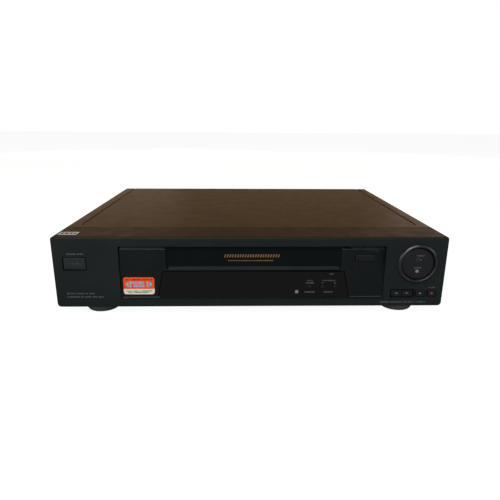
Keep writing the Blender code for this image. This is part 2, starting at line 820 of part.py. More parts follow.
def fascia_holes():
    """The x and height spans of the square holes for the fascia's buttons, by name."""
    power_left = POWER_FROM_SIDE - HALF_WIDTH
    wind_left = HALF_WIDTH - WIND_FROM_SIDE
    pause_left = HALF_WIDTH - PAUSE_FROM_SIDE
    record_left = HALF_WIDTH - RECORD_FROM_SIDE
    low_row = (KEY_FOOT, KEY_FOOT + KEY_HEIGHT)
    return {
        "power": ((power_left, power_left + POWER_WIDTH), (POWER_FOOT, POWER_FOOT + POWER_HEIGHT)),
        "wind": ((wind_left, wind_left + WIND_WIDTH), low_row),
        "pause": ((pause_left, pause_left + PAUSE_WIDTH), low_row),
        "record": ((record_left, record_left + RECORD_WIDTH), low_row),
    }


def fascia_keys():
    """The x and height spans of the buttons that fill those holes; two of them share one hole."""
    fitted = {name: (inset(across), inset(upward)) for name, (across, upward) in fascia_holes().items()}
    wind_across, low_row = fitted["wind"]
    middle = sum(wind_across) / 2
    return {
        "power_button": fitted["power"],
        "rewind_button": ((wind_across[0], middle - BUTTON_GAP / 2), low_row),
        "fast_forward_button": ((middle + BUTTON_GAP / 2, wind_across[1]), low_row),
        "pause_button": fitted["pause"],
        "record_button": fitted["record"],
    }


def make_keys():
    """The square-cut buttons, each a cap that reaches back towards its switch."""
    sinks = {
        "power_button": POWER_SINK,
        "rewind_button": WIND_SINK,
        "fast_forward_button": WIND_SINK,
    }
    for name, (across, upward) in fascia_keys().items():
        face = sinks.get(name, 0)
        key = boxes(name, [(across, (face, BUTTON_BACK), upward)], look=BUTTON_BLACK)
        soften(key, BUTTON_SOFTENING, on_front(face))


def eject_spans():
    """The eject button's spans in x and height."""
    left = DOOR_RIGHT + RIGHT_BLOCK_WIDTH * EJECT_START_SHARE
    top = PANEL_TOP - EJECT_DROP
    return (left, left + RIGHT_BLOCK_WIDTH * EJECT_WIDTH_SHARE), (top - EJECT_HEIGHT, top)


def make_eject_button():
    """The eject button in the right block."""
    across, upward = eject_spans()
    spans = [(across, (EJECT_FACE_DEPTH, BUTTON_BACK), upward)]
    key = boxes("eject_button", spans, look=BUTTON_BLACK)
    soften(key, BUTTON_SOFTENING, on_front(EJECT_FACE_DEPTH))


def rocker_axis(depth):
    """The middle of the play and stop rocker at a depth."""
    return at(HALF_WIDTH - ROCKER_FROM_SIDE, depth, ROCKER_HEIGHT)


def make_rocker():
    """The ring in the fascia and the disc that rocks inside it."""
    inner = DISC_RADIUS + DISC_PLAY
    turned(
        "play_stop_ring",
        [
            (inner, RING_INNER_EDGE),
            (RING_CREST_RADIUS, RING_PROUD),
            (RING_RADIUS, RING_SHOULDER),
            (RING_RADIUS, -RING_BACK),
            (inner, -RING_BACK),
        ],
        rocker_axis(0),
        look=GLOSS_BLACK,
        steps=VISIBLE_TURN_STEPS,
        bored=True,
        forward=True,
    )
    disc = turned(
        "play_stop_disc",
        [
            (0, DISC_CROWN + DISC_RIM_PROUD),
            (DISC_CROWN_RADIUS, DISC_CROWN + DISC_RIM_PROUD),
            (DISC_RADIUS, DISC_RIM_PROUD),
            (DISC_RADIUS, -DISC_BACK),
            (0, -DISC_BACK),
        ],
        rocker_axis(0),
        look=BUTTON_BLACK,
        steps=VISIBLE_TURN_STEPS,
        forward=True,
    )
    posts = []
    for offset in (-DISC_POST_OFFSET, DISC_POST_OFFSET):
        shift = Vector((0, 0, offset))
        ends = rocker_axis(DISC_BACK - FASCIA_WALL / 2) + shift, rocker_axis(BUTTON_BACK) + shift
        posts.append((DISC_POST_RADIUS, *ends))
    join(disc, rods("disc_posts", posts, sides=POST_SIDES))


def window_corners(grown=0):
    """The display window's outline, wider at its foot, grown by a gap all round."""
    left = DOOR_LEFT - WINDOW_TOP_OVERHANG
    right = DOOR_RIGHT + WINDOW_TOP_OVERHANG
    return [
        (left - WINDOW_FLARE - grown, WINDOW_FOOT_HEIGHT - grown),
        (right + WINDOW_FLARE + grown, WINDOW_FOOT_HEIGHT - grown),
        (right + grown, SILL_HEIGHT + grown),
        (left - grown, SILL_HEIGHT + grown),
    ]


def make_centre_panel():
    """The sunk moulding round the door and the window, with its bars and hinge cheeks."""
    left = PANEL_LEFT + FIT_GAP
    right = PANEL_RIGHT - FIT_GAP
    foot = PANEL_FOOT_HEIGHT + FIT_GAP
    panel = outline(
        "centre_panel",
        rectangle(left, right, foot, PANEL_TOP),
        "front",
        (PANEL_RECESS, PANEL_RECESS + PANEL_THICKNESS),
        look=PANEL_BLACK,
    )
    top = at(0, 0, PANEL_TOP).z
    front = on_front(PANEL_RECESS)
    soften(panel, PANEL_CHAMFER, lambda point: front(point) and abs(point.z - top) < PLANE_TOLERANCE)
    lean(panel)
    lip = boxes("panel_lip", [((left, right), (0, LIP_REACH), (foot, foot + LIP_HEIGHT))])
    bar_span = (DOOR_LEFT - BUTTON_GAP - BAR_REACH, DOOR_RIGHT + BUTTON_GAP + BAR_REACH)
    bars = boxes(
        "panel_bars",
        [
            (bar_span, (SILL_BAR_FRONT, SILL_BAR_BACK), (SILL_HEIGHT - SILL_BAR_HEIGHT, SILL_HEIGHT)),
            ((left, right), (FOOT_BAR_FRONT, FOOT_BAR_BACK), (foot, foot + FOOT_BAR_HEIGHT)),
        ],
    )
    cheek_height = (PIVOT_HEIGHT - CHEEK_FOOT_DROP, PIVOT_HEIGHT + CHEEK_RISE)
    cheek_depth = (CHEEK_FRONT, CHEEK_BACK)
    cheek_left = DOOR_LEFT - BUTTON_GAP
    cheek_right = DOOR_RIGHT + BUTTON_GAP
    cheeks = boxes(
        "panel_cheeks",
        [
            ((cheek_left - CHEEK_WIDTH, cheek_left), cheek_depth, cheek_height),
            ((cheek_right, cheek_right + CHEEK_WIDTH), cheek_depth, cheek_height),
        ],
    )
    doorway = boxes(
        "doorway",
        [
            (
                (DOOR_LEFT - BUTTON_GAP, DOOR_RIGHT + BUTTON_GAP),
                (-CUT_OVERRUN, SILL_BAR_FRONT + PANEL_THICKNESS),
                (SILL_HEIGHT, PANEL_TOP + CUT_OVERRUN),
            )
        ],
    )
    window_hole = outline("window_hole", window_corners(FIT_GAP), "front", (-CUT_OVERRUN, SILL_BAR_BACK))
    across, upward = eject_spans()
    eject_hole = boxes("eject_hole", [(widened(across), (-CUT_OVERRUN, SILL_BAR_BACK), widened(upward))])
    hole = (
        PIN_RADIUS + PIN_PLAY,
        at(cheek_left - CHEEK_WIDTH - CUT_OVERRUN, PIVOT_DEPTH, PIVOT_HEIGHT),
        at(cheek_right + CHEEK_WIDTH + CUT_OVERRUN, PIVOT_DEPTH, PIVOT_HEIGHT),
    )
    pin_holes = rods("pin_holes", [hole], sides=POST_SIDES)
    cut(panel, doorway, window_hole)
    join(panel, lip, bars, cheeks)
    cut(panel, eject_hole, pin_holes)


def make_door():
    """The cassette door, a dished flap with ears and pins at its top edge."""
    hinge = at(CENTRE_SHIFT, PIVOT_DEPTH, PIVOT_HEIGHT)
    spans = ((DOOR_LEFT, DOOR_RIGHT), (PANEL_RECESS, PANEL_RECESS + DOOR_THICKNESS), (DOOR_FOOT, DOOR_TOP))
    door = boxes("cassette_door", [spans], look=PANEL_BLACK)
    front = on_front(PANEL_RECESS)
    shape = bmesh.new()
    shape.from_mesh(door.data)
    face = [each for each in shape.faces if all(front(v.co + door.location) for v in each.verts)]
    bmesh.ops.inset_region(shape, faces=face, thickness=DOOR_BORDER, depth=-DOOR_DISH)
    shape.to_mesh(door.data)
    shape.free()
    lean(door)
    door.data.transform(Matrix.Translation(door.location - hinge))
    door.location = hinge
    ear_depth = (door_face_depth(DOOR_TOP) + DOOR_THICKNESS / 2, PIVOT_DEPTH + PIN_RADIUS + EAR_REACH)
    ear_height = (DOOR_TOP - EAR_DROP, PIVOT_HEIGHT + PIN_RADIUS)
    ears = boxes(
        "door_ears",
        [
            ((DOOR_LEFT, DOOR_LEFT + EAR_WIDTH), ear_depth, ear_height),
            ((DOOR_RIGHT - EAR_WIDTH, DOOR_RIGHT), ear_depth, ear_height),
        ],
    )
    cheek_reach = BUTTON_GAP + CHEEK_WIDTH
    pins = rods(
        "door_pins",
        [
            (
                PIN_RADIUS,
                at(DOOR_LEFT - cheek_reach, PIVOT_DEPTH, PIVOT_HEIGHT),
                at(DOOR_LEFT + EAR_WIDTH / 2, PIVOT_DEPTH, PIVOT_HEIGHT),
            ),
            (
                PIN_RADIUS,
                at(DOOR_RIGHT - EAR_WIDTH / 2, PIVOT_DEPTH, PIVOT_HEIGHT),
                at(DOOR_RIGHT + cheek_reach + SPRING_PIN_REACH, PIVOT_DEPTH, PIVOT_HEIGHT),
            ),
        ],
        sides=POST_SIDES,
    )
    join(door, ears, pins)


def make_door_spring():
    """The torsion spring round the door's right pin: one wire, wound by a formula, with a leg each end."""
    ring = PIN_RADIUS + SPRING_WIRE_RADIUS + FIT_GAP
    start = DOOR_RIGHT + BUTTON_GAP + CHEEK_WIDTH + SPRING_WIRE_RADIUS + FIT_GAP
    points = [(start, ring, SPRING_LEG)]
    for step in range(SPRING_TURNS * SPRING_POINTS + 1):
        angle = 2 * math.pi * step / SPRING_POINTS
        advance = SPRING_PITCH * step / SPRING_POINTS
        points.append((start + advance, ring * math.cos(angle), -ring * math.sin(angle)))
    points.append((start + SPRING_PITCH * SPRING_TURNS, ring, SPRING_LEG))
    curve = bpy.data.curves.new("door_spring", "CURVE")
    curve.dimensions = "3D"
    curve.bevel_depth = SPRING_WIRE_RADIUS
    curve.bevel_resolution = 1
    curve.use_fill_caps = True
    spline = curve.splines.new("POLY")
    spline.points.add(len(points) - 1)
    for point, (x, depth, height) in zip(spline.points, points):
        point.co = (*at(x, PIVOT_DEPTH + depth, PIVOT_HEIGHT + height), 1)
    spring = bpy.data.objects.new("door_spring", curve)
    RECORDER.objects.link(spring)
    finish(spring, ZINC_STEEL)


def make_window():
    """The smoked display window with its three round holes."""
    window = outline(
        "display_window",
        window_corners(),
        "front",
        (PANEL_RECESS, PANEL_RECESS + WINDOW_THICKNESS),
        look=SMOKED_BLACK,
    )
    lean(window)
    holes = []
    for x in round_button_places():
        ends = at(x, -CUT_OVERRUN, ROUND_BUTTON_HEIGHT), at(x, SILL_BAR_FRONT, ROUND_BUTTON_HEIGHT)
        holes.append((ROUND_BUTTON_RADIUS + FIT_GAP, *ends))
    cut(window, rods("round_button_holes", holes))


def round_button_places():
    """The x of each round button, from left to right."""
    first = DOOR_RIGHT - ROUND_BUTTON_FROM_DOOR_SIDE
    return [first + ROUND_BUTTON_PITCH * index for index in range(3)]


def make_round_buttons():
    """The plain, minus and plus buttons in the window."""
    for name, x in zip(("clock_button", "minus_button", "plus_button"), round_button_places()):
        ends = at(x, ROUND_BUTTON_FACE_DEPTH, ROUND_BUTTON_HEIGHT), at(x, BUTTON_BACK, ROUND_BUTTON_HEIGHT)
        key = rods(name, [(ROUND_BUTTON_RADIUS, *ends)], look=BUTTON_BLACK, sides=HIDDEN_TURN_STEPS)
        soften(key, BUTTON_SOFTENING, on_front(ROUND_BUTTON_FACE_DEPTH))


def make_front_board():
    """The front control board: one outline with a tab at each end, and a push switch for each button."""
    left = FRONT_BOARD_END_GAP - (HALF_WIDTH - FASCIA_WALL)
    right = -left
    left_tab_end = fascia_holes()["power"][0][1] + TAB_MARGIN
    right_tab_start = eject_spans()[0][0] - TAB_MARGIN
    corners = [
        (left, FRONT_BOARD_FOOT),
        (right, FRONT_BOARD_FOOT),
        (right, RIGHT_TAB_TOP),
        (right_tab_start, RIGHT_TAB_TOP),
        (right_tab_start, FRONT_BOARD_TOP),
        (left_tab_end, FRONT_BOARD_TOP),
        (left_tab_end, LEFT_TAB_TOP),
        (left, LEFT_TAB_TOP),
    ]
    depth = (BOARD_DEPTH, BOARD_DEPTH + BOARD_THICKNESS)
    board = outline("front_control_board", corners, "front", depth, look=BOARD_BROWN)
    middles = [(sum(across) / 2, sum(upward) / 2) for across, upward in fascia_keys().values()]
    across, upward = eject_spans()
    middles.append((sum(across) / 2, sum(upward) / 2))
    middles += [(x, ROUND_BUTTON_HEIGHT) for x in round_button_places()]
    rocker_x = HALF_WIDTH - ROCKER_FROM_SIDE
    middles += [(rocker_x, ROCKER_HEIGHT - DISC_POST_OFFSET), (rocker_x, ROCKER_HEIGHT + DISC_POST_OFFSET)]
    half = SWITCH_SIZE / 2
    switches = boxes(
        "push_switches",
        [
            ((x - half, x + half), (SWITCH_FACE, BOARD_DEPTH + BOARD_THICKNESS / 2), (h - half, h + half))
            for x, h in middles
        ],
    )
    join(board, switches)


def make_display():
    """The glass of the fluorescent display, in front of the control board."""
    spans = (
        (TUBE_LEFT, TUBE_LEFT + TUBE_WIDTH),
        (TUBE_FRONT, BOARD_DEPTH - FIT_GAP),
        (TUBE_FOOT, TUBE_FOOT + TUBE_HEIGHT),
    )
    boxes("fluorescent_display", [spans], look=TUBE_GLASS)


def make_cover():
    """The folded cover: top and sides in one sheet, grooved on top and slotted at the sides."""
    inside = HALF_WIDTH - COVER_SHEET
    inner_radius = max(COVER_CORNER_RADIUS - COVER_SHEET, 0)
    corners = [
        (-HALF_WIDTH, 0, 0),
        (-inside, 0, 0),
        (-inside, BODY_HEIGHT - COVER_SHEET, inner_radius),
        (inside, BODY_HEIGHT - COVER_SHEET, inner_radius),
        (inside, 0, 0),
        (HALF_WIDTH, 0, 0),
        (HALF_WIDTH, BODY_HEIGHT, COVER_CORNER_RADIUS),
        (-HALF_WIDTH, BODY_HEIGHT, COVER_CORNER_RADIUS),
    ]
    depth = (FASCIA_DEPTH + FIT_GAP, BODY_DEPTH)
    cover = outline("top_cover", rounded(corners), "front", depth, look=COVER_BROWN)
    grooves = []
    for side in (-1, 1):
        middle = side * (HALF_WIDTH - GROOVE_FROM_SIDE)
        across = (middle - GROOVE_WIDTH / 2, middle + GROOVE_WIDTH / 2)
        top = (BODY_HEIGHT - GROOVE_SINK, BODY_HEIGHT + CUT_OVERRUN)
        grooves.append((across, (GROOVE_START, BODY_DEPTH + CUT_OVERRUN), top))
    vents = []
    for side in (-1, 1):
        across = sorted((side * (HALF_WIDTH + CUT_OVERRUN), side * (inside - CUT_OVERRUN)))
        for index in range(VENT_COUNT):
            back = BODY_DEPTH - VENT_FROM_BACK - VENT_PITCH * index
            vents.append((across, (back - VENT_WIDTH, back), (VENT_FOOT, VENT_FOOT + VENT_HEIGHT)))
    cut(cover, boxes("cover_grooves", grooves), boxes("cover_vents", vents))


def foot_places():
    """The four feet by name, in x and depth."""
    aside = HALF_WIDTH - FOOT_FROM_SIDE
    back = BODY_DEPTH - REAR_FOOT_FROM_BACK
    return {
        "foot_front_left": (-aside, FRONT_FOOT_DEPTH),
        "foot_front_right": (aside, FRONT_FOOT_DEPTH),
        "foot_rear_left": (-aside, back),
        "foot_rear_right": (aside, back),
    }


def make_feet():
    """The round feet, each pegged into the bottom plate."""
    profile = [
        (0, FOOT_HEIGHT + FOOT_PEG_HEIGHT),
        (FOOT_PEG_RADIUS, FOOT_HEIGHT + FOOT_PEG_HEIGHT),
        (FOOT_PEG_RADIUS, FOOT_HEIGHT - FIT_GAP),
        (FOOT_TOP_RADIUS, FOOT_HEIGHT - FIT_GAP),
        (FOOT_TOP_RADIUS, FOOT_HEIGHT - FOOT_SHOULDER),
        (FOOT_SOLE_RADIUS, 0),
        (0, 0),
    ]
    for name, (x, depth) in foot_places().items():
        turned(name, profile, at(x, depth, -FOOT_HEIGHT), look=FOOT_GREY, steps=VISIBLE_TURN_STEPS // 2)


def board_posts():
    """Where each circuit board is carried, in x and depth."""
    main_left = CENTRE_SHIFT - MAIN_BOARD_HALF_WIDTH + BOARD_POST_INSET
    main_right = CENTRE_SHIFT + MAIN_BOARD_HALF_WIDTH - BOARD_POST_INSET
    back = BOARD_BACK - BOARD_POST_INSET
    step = BODY_DEPTH - MAIN_BOARD_STEP_FROM_BACK + BOARD_POST_INSET
    side = BOARD_SIDE - BOARD_POST_INSET
    front = MAIN_BOARD_FRONT + BOARD_POST_INSET
    inner = POWER_BOARD_RIGHT - BOARD_POST_INSET
    return [
        (main_left, front),
        (main_right, front),
        (main_left, back),
        (side, back),
        (side, step),
        (-side, front),
        (inner, front),
        (-side, back),
        (inner, back),
    ]


def deck_posts():
    """Where the deck is carried, in x and depth."""
    aside = DECK_HALF_WIDTH - DECK_POST_FROM_SIDE
    ends = (DECK_FRONT + DECK_POST_FROM_END, DECK_BACK - DECK_POST_FROM_END)
    return [(CENTRE_SHIFT + side * aside, depth) for side in (-1, 1) for depth in ends]


def make_base():
    """The bottom plate, a shallow channel with posts for the boards and the deck."""
    inside = BASE_HALF_WIDTH - BASE_SHEET
    corners = [
        (-BASE_HALF_WIDTH, 0),
        (BASE_HALF_WIDTH, 0),
        (BASE_HALF_WIDTH, BASE_RIM_HEIGHT),
        (inside, BASE_RIM_HEIGHT),
        (inside, BASE_SHEET),
        (-inside, BASE_SHEET),
        (-inside, BASE_RIM_HEIGHT),
        (-BASE_HALF_WIDTH, BASE_RIM_HEIGHT),
    ]
    depth = (FASCIA_LIP_DEPTH + FIT_GAP, REAR_INNER_FACE - FIT_GAP)
    base = outline("bottom_plate", corners, "front", depth, look=ZINC_STEEL)
    posts = []
    for x, depth in board_posts():
        top = FLOOR_BOARD_HEIGHT - FIT_GAP
        posts.append((BOARD_POST_RADIUS, at(x, depth, BASE_SHEET / 2), at(x, depth, top)))
    for x, depth in deck_posts():
        top = DECK_TOP_HEIGHT - DECK_SHEET - FIT_GAP
        posts.append((DECK_POST_RADIUS, at(x, depth, BASE_SHEET / 2), at(x, depth, top)))
    holes = []
    for x, depth in foot_places().values():
        ends = at(x, depth, -CUT_OVERRUN), at(x, depth, BASE_SHEET + CUT_OVERRUN)
        holes.append((FOOT_PEG_RADIUS + FIT_GAP, *ends))
    join(base, rods("base_posts", posts, sides=POST_SIDES))
    cut(base, rods("peg_holes", holes, sides=POST_SIDES * 2))


def socket_spans():
    """The x, depth and height spans of each block that shows through the rear panel."""
    inlet_left = INLET_FROM_SIDE - HALF_WIDTH - INLET_WIDTH / 2
    jack_left = HALF_WIDTH - JACK_FROM_SIDE
    av_left = HALF_WIDTH - AV_SOCKET_FROM_SIDE - AV_SOCKET_WIDTH / 2
    inlet_back = REAR_FACE + INLET_PROUD
    av_back = REAR_FACE + AV_SOCKET_PROUD
    jack_back = REAR_FACE + AV_SOCKET_PROUD
    av_depth = (av_back - AV_SOCKET_LENGTH, av_back)
    av_height = (STANDING_HEIGHT, STANDING_HEIGHT + AV_SOCKET_HEIGHT)
    second_left = av_left - AV_SOCKET_PITCH
    return {
        "mains_inlet": (
            (inlet_left, inlet_left + INLET_WIDTH),
            (inlet_back - INLET_LENGTH, inlet_back),
            (STANDING_HEIGHT, STANDING_HEIGHT + INLET_HEIGHT),
        ),
        "scart_socket_right": ((av_left, av_left + AV_SOCKET_WIDTH), av_depth, av_height),
        "scart_socket_left": ((second_left, second_left + AV_SOCKET_WIDTH), av_depth, av_height),
        "audio_jack_block": (
            (jack_left, jack_left + JACK_WIDTH),
            (jack_back - JACK_LENGTH, jack_back),
            (STANDING_HEIGHT, STANDING_HEIGHT + JACK_HEIGHT),
        ),
    }


def tuner_middle():
    """The x of the tuner and its aerial connectors."""
    return HALF_WIDTH - TUNER_FROM_SIDE


def aerial_heights():
    """The height of each aerial connector."""
    return (AERIAL_LOW_HEIGHT, AERIAL_LOW_HEIGHT + AERIAL_PITCH)


def make_rear_panel():
    """The rear panel with a hole for each socket."""
    top = BODY_HEIGHT - COVER_SHEET - FIT_GAP
    corners = [
        (-COVER_INSIDE_HALF, 0, 0),
        (COVER_INSIDE_HALF, 0, 0),
        (COVER_INSIDE_HALF, top, COVER_CORNER_RADIUS),
        (-COVER_INSIDE_HALF, top, COVER_CORNER_RADIUS),
    ]
    span = (REAR_INNER_FACE, REAR_FACE)
    panel = outline("rear_panel", rounded(corners), "front", span, look=FASCIA_BLACK)
    through = (REAR_INNER_FACE - CUT_OVERRUN, REAR_FACE + CUT_OVERRUN)
    square = [
        (
            (across[0] - FIT_GAP, across[1] + FIT_GAP),
            through,
            (upward[0] - FIT_GAP, upward[1] + FIT_GAP),
        )
        for across, _, upward in socket_spans().values()
    ]
    x = tuner_middle()
    round_holes = [
        (AERIAL_RADIUS + FIT_GAP, at(x, through[0], height), at(x, through[1], height))
        for height in aerial_heights()
    ]
    cut(panel, boxes("socket_holes", square), rods("aerial_holes", round_holes))


def make_sockets():
    """The mains inlet, the audio and video sockets and the audio jack block."""
    spans = socket_spans()
    inlet = boxes("mains_inlet", [spans["mains_inlet"]], look=PANEL_BLACK)
    across, inward, upward = spans["mains_inlet"]
    x = sum(across) / 2
    height = sum(upward) / 2
    half_width = INLET_RECESS_WIDTH / 2
    half_height = INLET_RECESS_HEIGHT / 2
    recess_round = half_height * INLET_ROUND_SHARE
    recess = outline(
        "inlet_recess",
        rectangle(x - half_width, x + half_width, height - half_height, height + half_height, recess_round),
        "front",
        (inward[1] - INLET_RECESS_LENGTH, inward[1] + CUT_OVERRUN),
    )
    cut(inlet, recess)
    for name in ("scart_socket_right", "scart_socket_left"):
        across, inward, upward = spans[name]
        corners = [
            (across[0], upward[0]),
            (across[1], upward[0]),
            (across[1], upward[1]),
            (across[0] + AV_SOCKET_CHAMFER, upward[1]),
            (across[0], upward[1] - AV_SOCKET_CHAMFER),
        ]
        outline(name, corners, "front", inward, look=GEAR_BLACK)
    across, inward, upward = spans["audio_jack_block"]
    jacks = boxes("audio_jack_block", [spans["audio_jack_block"]], look=GEAR_BLACK)
    collars = []
    bores = []
    height = sum(upward) / 2
    for side in (-1, 1):
        x = sum(across) / 2 + side * JACK_PITCH / 2
        end = inward[1] + JACK_PROUD - AV_SOCKET_PROUD
        collars.append((JACK_RADIUS, at(x, inward[1] - CUT_OVERRUN, height), at(x, end, height)))
        bores.append((JACK_BORE_RADIUS, at(x, end - JACK_BORE_LENGTH, height), at(x, end + CUT_OVERRUN, height)))
    join(jacks, rods("jack_collars", collars, sides=2 * POST_SIDES))
    cut(jacks, rods("jack_bores", bores, sides=POST_SIDES))


def make_tuner():
    """The tuner can with its two aerial connectors."""
    x = tuner_middle()
    back = REAR_INNER_FACE - FIT_GAP
    spans = (
        (x - TUNER_WIDTH / 2, x + TUNER_WIDTH / 2),
        (back - TUNER_LENGTH, back),
        (STANDING_HEIGHT, STANDING_HEIGHT + TUNER_HEIGHT),
    )
    tuner = boxes("tuner_unit", [spans], look=ZINC_STEEL)
    end = BODY_DEPTH + SOCKET_PROUD
    stems = [(AERIAL_RADIUS, at(x, back - CUT_OVERRUN, h), at(x, end, h)) for h in aerial_heights()]
    bores = [
        (AERIAL_INNER_RADIUS, at(x, end - AERIAL_BORE_LENGTH, h), at(x, end + CUT_OVERRUN, h))
        for h in aerial_heights()
    ]
    join(tuner, rods("aerial_stems", stems))
    cut(tuner, rods("aerial_bores", bores, sides=POST_SIDES))


def make_boards():
    """The main board and the power supply board."""
    left = CENTRE_SHIFT - MAIN_BOARD_HALF_WIDTH
    right = CENTRE_SHIFT + MAIN_BOARD_HALF_WIDTH
    step = BODY_DEPTH - MAIN_BOARD_STEP_FROM_BACK
    corners = [
        (left, MAIN_BOARD_FRONT),
        (right, MAIN_BOARD_FRONT),
        (right, step),
        (BOARD_SIDE, step),
        (BOARD_SIDE, BOARD_BACK),
        (left, BOARD_BACK),
    ]
    level = (FLOOR_BOARD_HEIGHT, BOARD_TOP_HEIGHT)
    board = outline("main_board", corners, "plan", level, look=BOARD_BROWN)
    chips = []
    for across, inward in ((left, step), (left, step + 2 * CHIP_SIZE), (left + 2 * CHIP_SIZE, step)):
        x = across + CHIP_SIZE
        chips.append(
            (
                (x, x + CHIP_SIZE),
                (inward + CHIP_SIZE / 2, inward + CHIP_SIZE),
                (FLOOR_BOARD_HEIGHT + BOARD_THICKNESS / 2, BOARD_TOP_HEIGHT + CHIP_HEIGHT),
            )
        )
    join(board, boxes("chips", chips))
    boxes(
        "power_supply_board",
        [((-BOARD_SIDE, POWER_BOARD_RIGHT), (MAIN_BOARD_FRONT, BOARD_BACK), level)],
        look=BOARD_BROWN,
    )


def make_power_supply():
    """The transformer, the heat sink and the smoothing capacitor, standing on their board."""
    x = SIDE_ROOM * TRANSFORMER_PLACE_SHARE - HALF_WIDTH
    half_width = SIDE_ROOM * TRANSFORMER_WIDTH_SHARE / 2
    half_length = TRANSFORMER_LENGTH / 2
    level = (STANDING_HEIGHT, STANDING_HEIGHT + TRANSFORMER_HEIGHT)
    depth = (TRANSFORMER_DEPTH - half_length, TRANSFORMER_DEPTH + half_length)
    core = boxes("transformer", [((x - half_width, x + half_width), depth, level)], look=IRON_GREY)
    winding = (
        (x - half_width + TRANSFORMER_YOKE, x + half_width - TRANSFORMER_YOKE),
        (depth[0] - TRANSFORMER_YOKE, depth[1] + TRANSFORMER_YOKE),
        (level[0] + TRANSFORMER_YOKE / 2, level[1] - TRANSFORMER_YOKE),
    )
    join(core, boxes("transformer_winding", [winding]))
    back = SIDE_ROOM * HEAT_SINK_PLACE_SHARE - HALF_WIDTH
    corners = [(back, HEAT_SINK_DEPTH), (back + HEAT_SINK_BACK, HEAT_SINK_DEPTH)]
    for index in range(FIN_COUNT):
        start = HEAT_SINK_DEPTH + HEAT_SINK_BACK + FIN_PITCH * index
        root = back + HEAT_SINK_BACK
        tip = root + FIN_REACH
        corners += [(root, start), (tip, start), (tip, start + FIN_THICKNESS), (root, start + FIN_THICKNESS)]
    end = HEAT_SINK_DEPTH + HEAT_SINK_BACK + FIN_PITCH * FIN_COUNT
    corners += [(back + HEAT_SINK_BACK, end), (back, end)]
    top = STANDING_HEIGHT + HEAT_SINK_HEIGHT
    outline("heat_sink", corners, "plan", (STANDING_HEIGHT, top), look=SINK_ALLOY)
    can_x = SIDE_ROOM * CAPACITOR_PLACE_SHARE - HALF_WIDTH
    foot = at(can_x, CAPACITOR_DEPTH, STANDING_HEIGHT)
    top = at(can_x, CAPACITOR_DEPTH, STANDING_HEIGHT + CAPACITOR_HEIGHT)
    rods("smoothing_capacitor", [(CAPACITOR_RADIUS, foot, top)], look=SLEEVE_BLUE)


def pinch_pivot():
    """The pinch arm's pivot in x and depth."""
    return Vector((CAPSTAN_X + PINCH_PIVOT_ASIDE, CAPSTAN_DEPTH + PINCH_PIVOT_BEHIND))


def pinch_rest():
    """The open pinch roller's centre, swung back from where it would touch the capstan.

    The touching angle comes from the triangle of pivot, capstan and roller.
    """
    pivot = pinch_pivot()
    capstan = Vector((CAPSTAN_X, CAPSTAN_DEPTH))
    across = (capstan - pivot).length
    touch = PINCH_ROLLER_RADIUS + CAPSTAN_SHAFT_RADIUS + PINCH_TOUCH_GAP
    cosine = (PINCH_ARM_LENGTH**2 + across**2 - touch**2) / (2 * PINCH_ARM_LENGTH * across)
    heading = math.atan2(capstan.y - pivot.y, capstan.x - pivot.x) - math.acos(cosine)
    heading -= math.radians(PINCH_OPEN_DEGREES)
    return pivot + PINCH_ARM_LENGTH * Vector((math.cos(heading), math.sin(heading)))


def tension_pivot():
    """The tension arm's pivot in x and depth."""
    return Vector((DRUM_X - TENSION_PIVOT_ASIDE, DRUM_DEPTH - TENSION_PIVOT_AHEAD))


def idler_pivot():
    """The idler arm's pivot in x and depth."""
    return Vector((CENTRE_SHIFT, REEL_DEPTH - IDLER_PIVOT_AHEAD))


def reel_places():
    """The supply and take-up reels in x and depth."""
    return {
        "supply_reel_table": Vector((CENTRE_SHIFT - REEL_SPACING / 2, REEL_DEPTH)),
        "take_up_reel_table": Vector((CENTRE_SHIFT + REEL_SPACING / 2, REEL_DEPTH)),
    }


def pinion_place():
    """The loading pinion in x and depth, in mesh with the cam gear."""
    reach = CAM_GEAR_RADIUS + PINION_RADIUS + FIT_GAP
    bearing = math.radians(PINION_BEARING_DEGREES)
    return Vector((CAM_X + reach * math.cos(bearing), CAM_DEPTH + reach * math.sin(bearing)))


def guide_runs():
    """Where each tape guide starts and ends, in x and depth."""
    runs = {}
    for name, side in (("supply_guide_base", -1), ("take_up_guide_base", 1)):
        start = Vector((DRUM_X + side * GUIDE_START_ASIDE, DRUM_DEPTH - GUIDE_START_AHEAD))
        end = Vector((DRUM_X + side * GUIDE_END_ASIDE, DRUM_DEPTH + GUIDE_END_BEHIND))
        runs[name] = (start, end)
    return runs


